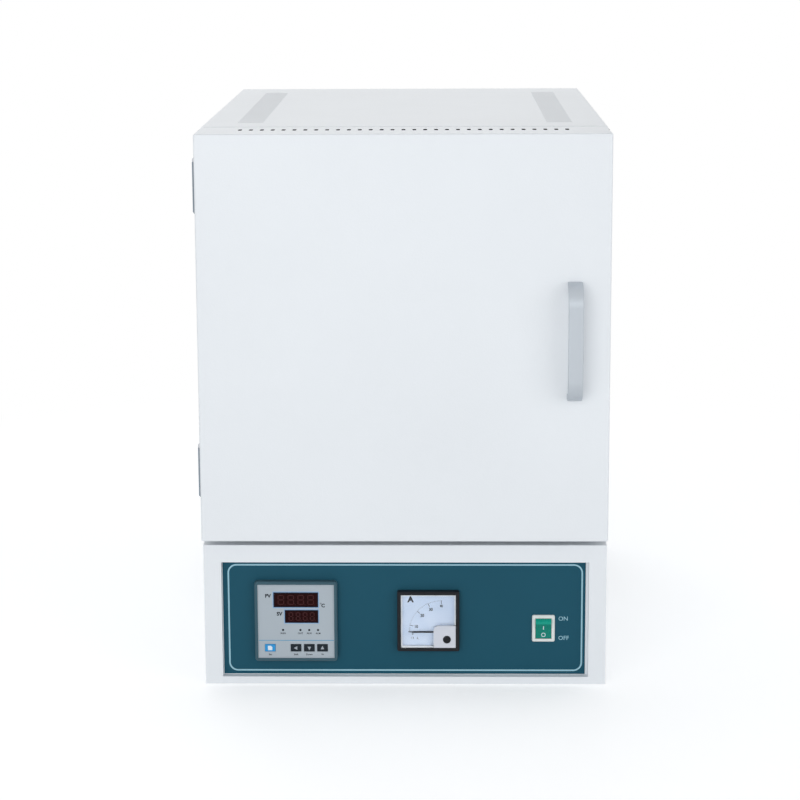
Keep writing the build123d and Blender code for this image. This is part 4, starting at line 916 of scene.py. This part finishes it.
class FURNACE_OT_finishes(bpy.types.Operator):
    """Make every finish and give it to the CAD nodes"""

    bl_idname = "furnace.finishes"
    bl_label = "Finishes"

    def execute(self, context):
        colours = context.scene.furnace_colours
        self.make_painted(tuple(colours.enamel))
        film_finish("panel film", tuple(colours.film))
        film_finish("controller film", tuple(colours.face))
        self.make_inks(colours)
        self.make_plastics(colours)
        window_finish("display window", tuple(colours.window))
        glass_finish("clear cover")
        self.make_ceramics(tuple(colours.brick))
        self.make_metals()
        for name, nodes in FINISHED_NODES.items():
            for node in nodes.split():
                dress(node, name)
        return {"FINISHED"}

    def make_painted(self, colour):
        """Enamel of the cabinet, and of the door, whose inside and slot walls get painted shade, near black."""
        enamel_finish("white enamel", colour, 0.06)
        low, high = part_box("door_shell")
        skin = Vector((0.75, 0.75, 0.75)) * MM
        slots, reach = low.y + 48.0 * MM, 8.0 * MM
        # painted shade on the walls of the slots in the door's top
        slot_wall_painted_shade = (
            Vector((low.x, slots - reach, high.z - 2.0 * MM)),
            Vector((high.x, slots + reach, high.z - 0.05 * MM)),
        )
        # painted shade: the shell's inside and its slot walls turn near black, for the shade seen through the
        # slots
        enamel_finish("door enamel", colour, 0.04, ((low + skin, high - skin), slot_wall_painted_shade))

    def make_inks(self, colours):
        """Printed marks."""
        ink_finish("pale ink", tuple(colours.film_print))
        ink_finish("dark ink", screen(26, 30, 38))
        ink_finish("blue ink", screen(92, 158, 196))
        ink_finish("grey ink", screen(168, 176, 184))
        ink_finish("white ink", screen(226, 238, 246))
        ink_finish("window edge", screen(14, 16, 34), 0.3)
        ink_finish("unlit segments", screen(58, 14, 18), 0.3)
        ink_finish("pane line", screen(150, 184, 222))

    def make_plastics(self, colours):
        """Moulded pieces. The rocker's upper edge has a painted highlight, a lighter green band."""
        plastic_finish("bezel plastic", tuple(colours.bezel), 0.42)
        plastic_finish("black plastic", screen(24, 26, 31), 0.38)
        plastic_finish("key plastic", screen(20, 30, 38), 0.4)
        plastic_finish("set key plastic", tuple(colours.set_key), 0.38)
        plastic_finish("white plastic", screen(226, 230, 228), 0.34, 600.0, 0.06, 0.2, 0.5)
        plastic_finish("shroud plastic", screen(212, 216, 226), 0.4, 900.0, 0.08, 0.0, 0.4)
        plastic_finish("window frame plastic", screen(232, 237, 243), 0.4, 900.0, 0.08, 0.0, 0.4)
        # painted highlight: the rocker turns lighter green above this height, for light on its upper face
        rocker_highlight_start = front_of("rocker")[0].z + 6.0 * MM
        cap = tuple(colours.rocker)
        plastic_finish("rocker plastic", cap, 0.3, 700.0, 0.05, other=screen(20, 160, 138), highlight_from=rocker_highlight_start)
        plastic_finish("terminal plastic", screen(212, 206, 190), 0.5)
        plastic_finish("dial card", tuple(colours.dial), 0.6, 1600.0, 0.05)

    def make_ceramics(self, brick):
        """Bricks, hearth, porcelain and fibre."""
        brick_finish("firebrick", brick, 0.22, 330.0)
        brick_finish("door brick", shade(brick, 1.06), 0.2, 360.0)
        brick_finish("hearth carbide", screen(70, 70, 74), 0.26, 520.0, 0.7, 0.35)
        plastic_finish("porcelain", screen(232, 228, 216), 0.16, 200.0, 0.03, 0.6)
        fibre_finish("fibre board", screen(236, 232, 222))
        fibre_finish("fibre rope", screen(226, 220, 206))

    def make_metals(self):
        """Sheets, wire, hinges, screws and the handle's coat."""
        oxide_finish("oxidised wire")
        zinc_finish("zinc sheet")
        metal_finish("stainless sheet", screen(196, 198, 200), 0.3, (1.0, 1.0, 30.0))
        metal_finish("hinge chrome", screen(134, 146, 158), 0.26, (6.0, 6.0, 1.0), 90.0, 0.86, 0.03)
        metal_finish("dome steel", screen(206, 208, 214), 0.3, (1.0, 1.0, 4.0), 90.0, 0.9, 0.03)
        metal_finish("screw zinc", screen(190, 192, 196), 0.32, EVEN, 700.0, 0.8, 0.1)
        metal_finish("terminal brass", screen(214, 178, 104), 0.28, (1.0, 12.0, 1.0), 200.0)
        metal_finish("sink aluminium", screen(178, 182, 186), 0.42, (1.0, 30.0, 1.0))
        handle_finish("handle coat")


class FURNACE_OT_panel_print(bpy.types.Operator):
    """Print the line and the switch's words on the panel film"""

    bl_idname = "furnace.panel_print"
    bl_label = "Panel print"

    def execute(self, context):
        spot, half = front_of("panel_overlay")
        marks = Print(spot)
        width = context.scene.furnace_sizes.outline_width / MM
        marks.frame(1.3, -0.25, half.x - 4.4, half.z - 3.75, 10.4, width)
        switch, switch_half = front_of("switch_housing")
        away = (switch - spot) / MM
        beside = away.x + switch_half.x + 4.4
        marks.words("ON", beside, away.z + 11.4, 5.0, -1.0)
        marks.words("OFF", beside, away.z - 12.0, 5.0, -1.0)
        marks.done("film_print", "cabinet", "pale ink")
        return {"FINISHED"}


class FURNACE_OT_controller(bpy.types.Operator):
    """Print the temperature controller's face, keys and unlit digits"""

    bl_idname = "furnace.controller"
    bl_label = "Temperature controller"

    def execute(self, context):
        spot, half = front_of("controller_face")
        self.print_words(spot)
        line = Print(spot)
        line.bar(0.0, -23.0, 2 * half.x - 1.2, 0.8)
        line.done("controller_line", "cabinet", "blue ink")
        around = Print(spot)
        for node in ("pv_display", "sv_display"):
            pane, half = front_of(node)
            away = (pane - spot) / MM
            around.frame(away.x, away.z, half.x + 1.0, half.z + 1.0, 0.4, 0.98)
        around.done("pane_lines", "cabinet", "pane line")
        self.print_pane("pv_display", 1.3)
        self.print_pane("sv_display", 1.1)
        self.print_keys()
        return {"FINISHED"}

    def print_words(self, spot):
        """Words on the face, the degree sign and the four unlit lamps."""
        dark = Print(spot)
        dark.words("PV", -32.1, 30.8, 4.6, bold=0.04)
        dark.words("SV", -19.0, 9.2, 4.6, bold=0.04)
        dark.words("C", 31.6, 19.2, 4.6, bold=0.04)
        dark.ring(28.9, 21.6, 0.9, 0.35)
        for across, words in ((-15.2, "RUN"), (5.0, "OUT"), (15.2, "AUX"), (25.4, "ALM")):
            dark.disc(across, -10.4, 1.3)
            dark.words(words, across, -14.4, 2.1, bold=0.02)
        for node, words in (("key_set", "Set"), ("key_left", "Shift"), ("key_down", "Down"), ("key_up", "Up")):
            dark.words(words, (front_of(node)[0].x - spot.x) / MM, -40.0, 2.2, bold=0.02)
        dark.done("controller_words", "cabinet", "dark ink")

    def print_pane(self, node, rim):
        """The dark edge of a display and its four unlit digits."""
        spot, half = front_of(node)
        edge = Print(spot)
        edge.frame(0.0, 0.0, half.x, half.z, 0.05, rim)
        edge.done(f"{node}_edge", "cabinet", "window edge")
        unlit = Print(spot)
        width = (half.x - 3.0) / 2
        for rank in range(4):
            across = width * (rank - 1.5)
            unlit.digit(across, 0.0, width * 0.66, half.z * 1.32, 1.1)
            unlit.disc(across + width * 0.43, 3.2 - half.z, 0.55, 12)
        unlit.done(f"{node}_digits", "cabinet", "unlit segments")

    def print_keys(self):
        """An arrow on three keys and a page on the fourth."""
        for node, turn in (("key_left", 180.0), ("key_down", 270.0), ("key_up", 90.0)):
            angles = [math.radians(turn + step) for step in (0.0, 125.0, 235.0)]
            arrow = Print(front_of(node)[0])
            arrow.polygon([(2.6 * math.cos(angle), 2.6 * math.sin(angle)) for angle in angles])
            arrow.done(f"{node}_arrow", node, "grey ink")
        page = Print(front_of("key_set")[0])
        page.polygon(((-2.7, -2.7), (2.5, -2.7), (2.5, 0.9), (0.9, 2.6), (-2.7, 2.6)))
        page.done("key_set_page", "key_set", "white ink")


class FURNACE_OT_ammeter(bpy.types.Operator):
    """Print the ammeter's dial and build its window, shroud and needle blade"""

    bl_idname = "furnace.ammeter"
    bl_label = "Ammeter"

    def execute(self, context):
        middle = front_of("meter_dial")[0]
        pivot = middle + Vector((15.1, 0.0, -14.0)) * MM
        self.print_scale(pivot)
        self.build_window(middle.y)
        self.build_blade(pivot)
        return {"FINISHED"}

    def print_scale(self, pivot):
        """The scale, close at its start as such meters have it, and the dial's words."""
        marks = Print(pivot)

        def tick(degrees, inner, width, outer=37.9):
            angle = math.radians(180.0 - degrees)
            reach = (inner + outer) / 2
            marks.bar(
                reach * math.cos(angle), reach * math.sin(angle), width, outer - inner, angle - math.pi / 2
            )

        majors = ((0, 0.0), (10, 12.2), (20, 41.4), (30, 65.7), (40, 90.0))
        for amps, degrees in majors[1:]:
            tick(degrees, 33.4, 0.55)
            angle = math.radians(180.0 - degrees)
            reach, tall = (29.6, 3.9) if amps < 40 else (31.2, 3.2)
            marks.words(str(amps), reach * math.cos(angle), reach * math.sin(angle), tall, 0.0, 0.03, 0.86)
        for degrees in (1.2, 3.0, 5.4, 8.4):
            tick(degrees, 36.2, 0.28)
        for start, end in zip(majors[1:-1], majors[2:]):
            for rank in range(1, 10):
                tick(start[1] + (end[1] - start[1]) * rank / 10, 36.4 if rank == 5 else 36.9, 0.28)
        tick(0.0, 35.6, 0.4)
        marks.words("0", -33.4, -2.4, 2.8, 0.0, 0.012, 0.86)
        marks.words("A", -35.7, 39.2, 7.4, bold=0.05)
        marks.words("1.5", -33.5, -7.6, 2.3)
        marks.bar(-27.7, -8.7, 2.6, 0.35)
        marks.bar(-27.7, -7.4, 0.35, 2.3)
        marks.done("dial_scale", "cabinet", "dark ink")

    def build_window(self, dial_face):
        """The clear sheet cut round the white shroud, the shroud, and the white frame behind the sheet."""
        low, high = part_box("meter_cover")
        shroud_low, shroud_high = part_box("meter_shroud")
        gap, clear_gap, wall, bend = 0.05 * MM, 0.4 * MM, 1.7 * MM, 6.0 * MM
        left, top = shroud_low.x, shroud_high.z
        sheet = corner_outline(
            (low.x, high.z, 0.0),
            (low.x, low.z, 0.0),
            (left - gap, low.z, 0.0),
            (left - gap, top + gap, bend),
            (high.x, top + gap, 0.0),
            (high.x, high.z, 0.0),
        )
        mesh = plate_mesh("meter_window", [sheet], low.y, high.y)
        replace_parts(settle("meter_window", mesh, "cabinet", "clear cover"), "meter_cover")

        screw, screw_half = front_of("zero_screw")
        hole = circle(screw.x, screw.z, screw_half.x * MM + 2 * gap, 48)
        right, bottom = high.x - gap, low.z + gap
        rim = corner_outline(
            (right, top - gap, 0.0), (left, top - gap, bend), (left, bottom, 0.0), (right, bottom, 0.0)
        )
        mesh = plate_mesh("shroud_cap", [rim, hole], low.y - 0.3 * MM, shroud_high.y, 0.25 * MM)
        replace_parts(settle("shroud_cap", mesh, "cabinet", "shroud plastic"), "meter_shroud")

        outline = corner_outline(
            (right, top + clear_gap, 0.0),
            (right, high.z - gap, 0.0),
            (low.x + gap, high.z - gap, 0.0),
            (low.x + gap, bottom, 0.0),
            (left - clear_gap, bottom, 0.0),
            (left - clear_gap, low.z + wall, 0.0),
            (low.x + wall, low.z + wall, 0.0),
            (low.x + wall, high.z - wall, 0.0),
            (high.x - wall, high.z - wall, 0.0),
            (high.x - wall, top + clear_gap, 0.0),
        )
        mesh = plate_mesh("dial_frame", [outline], high.y + 0.1 * MM, dial_face - gap, 0.05 * MM)
        settle("dial_frame", mesh, "cabinet", "window frame plastic")

    def build_blade(self, pivot):
        """The broad black blade on the thin pointer, with its lance tip."""
        front = front_of("meter_needle")[0].y
        half, tip, head, tail = 1.0 * MM, 38.4 * MM, 7.0 * MM, 4.0 * MM
        upper = [(tail, half), (head - tip, half), (-tip, half * 0.15)]
        outline = [(pivot.x + x, pivot.z + z) for x, z in upper + [(x, -z) for x, z in reversed(upper)]]
        mesh = plate_mesh("needle_blade", [outline], front - 0.25 * MM, front - 0.02 * MM, 0.03 * MM)
        settle("needle_blade", mesh, "meter_needle", "black plastic")


class FURNACE_OT_rocker(bpy.types.Operator):
    """Print the two marks on the rocker, following its hollow face"""

    bl_idname = "furnace.rocker"
    bl_label = "Rocker"

    def execute(self, context):
        marks = Print(front_of("rocker")[0])
        marks.bar(0.0, 1.2, 0.9, 4.6, 0.0, 12)
        marks.ring(0.0, -7.4, 2.5, 0.7)
        marks.lay_on("rocker")
        marks.done("rocker_marks", "rocker", "white ink")
        return {"FINISHED"}


class FURNACE_OT_heaters(bpy.types.Operator):
    """Wind the two heating coils in the grooves of the chamber's side plates"""

    bl_idname = "furnace.heaters"
    bl_label = "Heating coils"

    def execute(self, context):
        sizes = context.scene.furnace_sizes
        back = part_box("heating_elements")[1].y
        plate_low, plate_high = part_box("element_plates")
        pitch, plate_thickness, end_margin, groove_depth = 26.0 * MM, 26.0 * MM, 12.0 * MM, 4.2 * MM
        groove_x = plate_high.x - plate_thickness + groove_depth
        front = plate_low.y + end_margin + pitch / 2
        rear = plate_high.y - plate_thickness - end_margin
        middle = (plate_low.z + plate_high.z) / 2
        heights = [middle + (rank - 1.5) * pitch for rank in range(4)]
        turns = (front, rear - pitch / 2)
        line = [(rear, heights[0]), (front, heights[0])]
        for rank in range(3):
            centre = (heights[rank] + heights[rank + 1]) / 2
            bulge = 1.0 if rank % 2 else -1.0
            for y, z in arc(0.0, centre, pitch / 2, -math.pi / 2, math.pi / 2, 16):
                line.append((turns[rank % 2] + bulge * y, z))
            line.append((turns[1 - rank % 2], heights[rank + 1]))
        line[-1] = (rear, heights[3])
        tree = build_coil_tree()
        values = {
            "Coil Radius": sizes.coil_radius,
            "Wire Radius": sizes.wire_radius,
            "Pitch": sizes.coil_pitch,
            "Steps": 12,
            "Material": finish("oxidised wire"),
        }
        for side, name in ((-1.0, "heater_coil_left"), (1.0, "heater_coil_right")):
            path = path_curve(name, [(side * groove_x, y, z) for y, z in line], False)
            mesh = evaluated_mesh(name, path, tree, values)
            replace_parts(settle(name, mesh, "cabinet", "oxidised wire"), "heating_elements")
        places = [(side * groove_x, height) for side in (-1.0, 1.0) for height in (heights[0], heights[3])]
        self.build_tails(places, rear, back)
        return {"FINISHED"}

    def build_tails(self, places, front, back):
        """The straight rods that leave through the bushings."""
        tails = bmesh.new()
        radius = 1.6 * MM
        for x, z in places:
            made = bmesh.ops.create_cone(
                tails, cap_ends=True, segments=16, radius1=radius, radius2=radius, depth=back - front
            )
            place = Matrix.Translation((x, (back + front) / 2, z)) @ Matrix.Rotation(math.pi / 2, 4, "X")
            bmesh.ops.transform(tails, matrix=place, verts=made["verts"])
        mesh = bpy.data.meshes.new("heater_tails")
        tails.to_mesh(mesh)
        tails.free()
        settle("heater_tails", mesh, "cabinet", "oxidised wire")


class FURNACE_OT_hinge_heads(bpy.types.Operator):
    """Set the domed heads on the hinges' pins"""

    bl_idname = "furnace.hinge_heads"
    bl_label = "Hinge heads"

    def execute(self, context):
        leaf_low, leaf_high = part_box("hinge_door_leaves")
        pin_low, pin_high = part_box("hinge_pins")
        middle = (pin_low + pin_high) / 2
        radius = middle.x - leaf_low.x - 0.1 * MM
        foot, chamfer, wall_top, dome = 0.2 * MM, 0.4 * MM, 2.4 * MM, 4.0 * MM
        heights = [spot.co.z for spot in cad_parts["hinge_door_leaves"].data.vertices]
        lower_top = max(height for height in heights if height < middle.z)
        profile = [(0.0, foot), (radius - chamfer, foot), (radius, foot + chamfer), (radius, wall_top)]
        for step in range(1, 7):
            turn = math.pi / 2 * step / 6
            profile.append((radius * math.cos(turn) if step < 6 else 0.0, wall_top + dome * math.sin(turn)))
        places = [Vector((middle.x, middle.y, top)) for top in (leaf_high.z, lower_top)]
        settle("hinge_domes", turned_mesh("hinge_domes", profile, places), "cabinet", "dome steel")
        return {"FINISHED"}


class FURNACE_OT_door_rope(bpy.types.Operator):
    """Plait the rope that seals the door round the plug"""

    bl_idname = "furnace.door_rope"
    bl_label = "Door rope"

    def execute(self, context):
        sizes = context.scene.furnace_sizes
        low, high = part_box("door_gasket")
        half_width, corner = 7.0 * MM, 12.0 * MM
        middle, reach = (low + high) / 2, (high - low) / 2
        inset = half_width + corner
        points = []
        for rank, (across, up) in enumerate(((1, 1), (-1, 1), (-1, -1), (1, -1))):
            x, z = middle.x + across * (reach.x - inset), middle.z + up * (reach.z - inset)
            first = math.pi / 2 * rank
            points += [(x, middle.y, z) for x, z in arc(x, z, corner, first, first + math.pi / 2, 8)]
        values = {
            "Half Width": reach.y,
            "Half Thickness": half_width,
            "Strand Radius": sizes.strand_radius,
            "Turns": 36,
            "Strands": sizes.strand_count,
            "Material": finish("fibre rope"),
        }
        path = path_curve("door_rope", points, True)
        mesh = evaluated_mesh("door_rope", path, build_rope_tree(), values)
        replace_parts(settle("door_rope", mesh, "door", "fibre rope"), "door_gasket")
        return {"FINISHED"}


class FURNACE_OT_screws(bpy.types.Operator):
    """Set pan-head screws where the CAD screws are"""

    bl_idname = "furnace.screws"
    bl_label = "Screws"

    def execute(self, context):
        sizes = context.scene.furnace_sizes
        tree = build_screw_tree()
        values = {
            "Head Radius": sizes.head_radius,
            "Head Height": sizes.head_height,
            "Shank Radius": 1.8 * MM,
            "Shank Length": 5.0 * MM,
            "Seed": 7,
            "Material": finish("screw zinc"),
        }
        for node, body in (("cabinet_screws", "cabinet"), ("door_screws", "door")):
            spots = self.head_places(node)
            seed = bpy.data.meshes.new(node)
            seed.from_pydata([place for place, _way in spots], [], [])
            facing = seed.attributes.new("facing", "FLOAT_VECTOR", "POINT")
            for rank, (_place, way) in enumerate(spots):
                facing.data[rank].vector = way
            name = f"{node}_set"
            mesh = evaluated_mesh(name, seed, tree, values)
            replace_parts(settle(name, mesh, body, "screw zinc"), node)
        return {"FINISHED"}

    def head_places(self, node):
        """The seat of each screw's head and the way that it faces, read from the CAD node's separate solids."""
        solid = bmesh.new()
        solid.from_mesh(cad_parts[node].data)
        bmesh.ops.remove_doubles(solid, verts=solid.verts, dist=0.000001)
        spots = []
        left = set(solid.verts)
        while left:
            stack = [left.pop()]
            island = list(stack)
            while stack:
                vert = stack.pop()
                for edge in vert.link_edges:
                    other = edge.other_vert(vert)
                    if other in left:
                        left.remove(other)
                        stack.append(other)
                        island.append(other)
            low = Vector([min(vert.co[axis] for vert in island) for axis in range(3)])
            high = Vector([max(vert.co[axis] for vert in island) for axis in range(3)])
            seat = (low + high) / 2
            long_axis = max(range(3), key=lambda axis: (high - low)[axis])
            wide = [vert.co[long_axis] for vert in island if self.on_head(vert.co, seat, long_axis)]
            outward = sum(wide) / len(wide) > seat[long_axis]
            way = Vector((0.0, 0.0, 0.0))
            way[long_axis] = 1.0 if outward else -1.0
            seat[long_axis] = min(wide) if outward else max(wide)
            spots.append((tuple(seat), tuple(way)))
        solid.free()
        return sorted(spots)

    def on_head(self, place, middle, long_axis, shank_limit=2.6 * MM):
        """Whether a point belongs to the head and not to the shank."""
        across = [place[axis] - middle[axis] for axis in range(3) if axis != long_axis]
        return math.hypot(*across) > shank_limit


class FURNACE_OT_stage(bpy.types.Operator):
    """Set the floor, the lamps, the room light and the camera"""

    bl_idname = "furnace.stage"
    bl_label = "Stage"

    def execute(self, context):
        stage = context.scene.furnace_stage
        context.scene.view_settings.view_transform = "Standard"
        self.lay_floor(tuple(stage.floor))
        self.light_room(context.scene, stage.sky_level)
        self.hang_lamp("key_lamp", (-0.9, -3.4, 0.8), 2.4, stage.key_level)
        self.hang_lamp("fill_lamp", (2.5, -2.6, 0.9), 2.4, stage.fill_level)
        self.hang_lamp("back_lamp", (-0.6, 2.6, 2.6), 2.6, stage.fill_level)
        self.set_camera(context.scene, stage.lens)
        return {"FINISHED"}

    def lay_floor(self, colour):
        """A pale floor that keeps the shadow near the furnace and turns white to the camera further out."""
        made = Finish("pale floor", Roughness=0.85)
        made.feed(Base_Color=made.drift(colour, shade(colour, 0.985), 0.8, 0.6))
        made.grain(120.0, 3.0, None, 0.03, 0.0004)
        seen = made.seen_rays()
        lift = made.sum("MULTIPLY", seen, 0.34)
        glow = made.add("ShaderNodeEmission", {"Color": WHITE, "Strength": lift})
        both = made.add("ShaderNodeAddShader", {0: made.shader, 1: glow})
        far = made.mask(made.vector("LENGTH", made.place()).outputs["Value"], 0.5, 1.3)
        white = made.add("ShaderNodeEmission", {"Color": WHITE, "Strength": 1.0})
        share = made.sum("MULTIPLY", far, seen)
        faded = made.add("ShaderNodeMixShader", {0: share, 1: both, 2: white})
        made.fill(made.tree.nodes["Material Output"].inputs["Surface"], faded)
        sheet = bmesh.new()
        bmesh.ops.create_grid(sheet, x_segments=4, y_segments=4, size=9.0)
        mesh = bpy.data.meshes.new("floor")
        sheet.to_mesh(mesh)
        sheet.free()
        mesh.transform(Matrix.Translation((0.0, 0.0, -0.3 * MM)))
        mesh.materials.append(made.material)
        floor = bpy.data.objects.new("floor", mesh)
        bpy.context.scene.collection.objects.link(floor)

    def light_room(self, scene, level):
        """Even light from all round, and plain white for what the camera sees behind the object."""
        world = bpy.data.worlds.new("studio")
        world.use_nodes = True
        world.node_tree.nodes.clear()
        made = Wiring(world.node_tree)
        room = made.add("ShaderNodeBackground", {"Color": (0.97, 0.985, 1.0, 1.0), "Strength": level})
        white = made.add("ShaderNodeBackground", {"Color": WHITE, "Strength": 1.0})
        mixed = made.add("ShaderNodeMixShader", {0: made.seen_rays(), 1: room, 2: white})
        made.add("ShaderNodeOutputWorld", {"Surface": mixed})
        scene.world = world

    def hang_lamp(self, name, place, size, level):
        """A large square lamp that looks at the middle of the furnace."""
        lamp = bpy.data.lights.new(name, "AREA")
        lamp.shape = "SQUARE"
        lamp.size = size
        lamp.energy = level
        carrier = bpy.data.objects.new(name, lamp)
        carrier.location = place
        aim = Vector((0.0, 0.0, 0.3)) - Vector(place)
        carrier.rotation_euler = aim.to_track_quat("-Z", "Y").to_euler()
        bpy.context.scene.collection.objects.link(carrier)

    def set_camera(self, scene, lens):
        """The photograph's view, found from the cabinet's corners: its place is from the door's front."""
        yaw, pitch, roll = 0.01796, 0.18207, -0.00442
        side, back, height = 0.03962, 2.42663, 0.88072
        ahead = Vector((-math.sin(yaw) * math.cos(pitch), math.cos(yaw) * math.cos(pitch), -math.sin(pitch)))
        level = Vector((math.cos(yaw), math.sin(yaw), 0.0))
        upright = level.cross(ahead)
        right = level * math.cos(roll) + upright * math.sin(roll)
        up = upright * math.cos(roll) - level * math.sin(roll)
        turn = Matrix((right, up, -ahead)).transposed()
        data = bpy.data.cameras.new("camera")
        data.sensor_width = 36.0
        data.lens = lens
        data.shift_y = -0.1
        data.clip_end = 60.0
        camera = bpy.data.objects.new("camera", data)
        place = Vector((side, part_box("door_shell")[0].y - back, height))
        camera.matrix_world = Matrix.Translation(place) @ turn.to_4x4()
        scene.collection.objects.link(camera)
        scene.camera = camera


class FURNACE_PT_dressing(bpy.types.Panel):
    """The furnace's sizes, colours and building steps"""

    bl_idname = "FURNACE_PT_dressing"
    bl_label = "Muffle furnace"
    bl_space_type = "VIEW_3D"
    bl_region_type = "UI"
    bl_category = "Furnace"

    def draw(self, context):
        for label, _group in SETTINGS:
            settings = getattr(context.scene, label)
            box = self.layout.box()
            for key in settings.__annotations__:
                box.prop(settings, key)
        for step in STEPS:
            self.layout.operator(step.bl_idname)


STEPS = (
    FURNACE_OT_finishes,
    FURNACE_OT_panel_print,
    FURNACE_OT_controller,
    FURNACE_OT_ammeter,
    FURNACE_OT_rocker,
    FURNACE_OT_heaters,
    FURNACE_OT_hinge_heads,
    FURNACE_OT_door_rope,
    FURNACE_OT_screws,
    FURNACE_OT_stage,
)
SETTINGS = (
    ("furnace_colours", FurnaceColours),
    ("furnace_sizes", FurnaceSizes),
    ("furnace_stage", FurnaceStage),
)


def register():
    """Makes the settings, steps and panel known to Blender."""
    for label, group in SETTINGS:
        bpy.utils.register_class(group)
        setattr(bpy.types.Scene, label, PointerProperty(type=group))
    for step in STEPS:
        bpy.utils.register_class(step)
    bpy.utils.register_class(FURNACE_PT_dressing)


def unregister():
    """Takes them away again."""
    bpy.utils.unregister_class(FURNACE_PT_dressing)
    for step in reversed(STEPS):
        bpy.utils.unregister_class(step)
    for label, group in reversed(SETTINGS):
        delattr(bpy.types.Scene, label)
        bpy.utils.unregister_class(group)


def main():
    """Builds the dressed furnace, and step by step."""
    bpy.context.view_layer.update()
    register()
    bpy.ops.furnace.finishes()
    bpy.ops.furnace.panel_print()
    bpy.ops.furnace.controller()
    bpy.ops.furnace.ammeter()
    bpy.ops.furnace.rocker()
    bpy.ops.furnace.heaters()
    bpy.ops.furnace.hinge_heads()
    bpy.ops.furnace.door_rope()
    bpy.ops.furnace.screws()
    bpy.ops.furnace.stage()


if __name__ == "__main__":
    main()
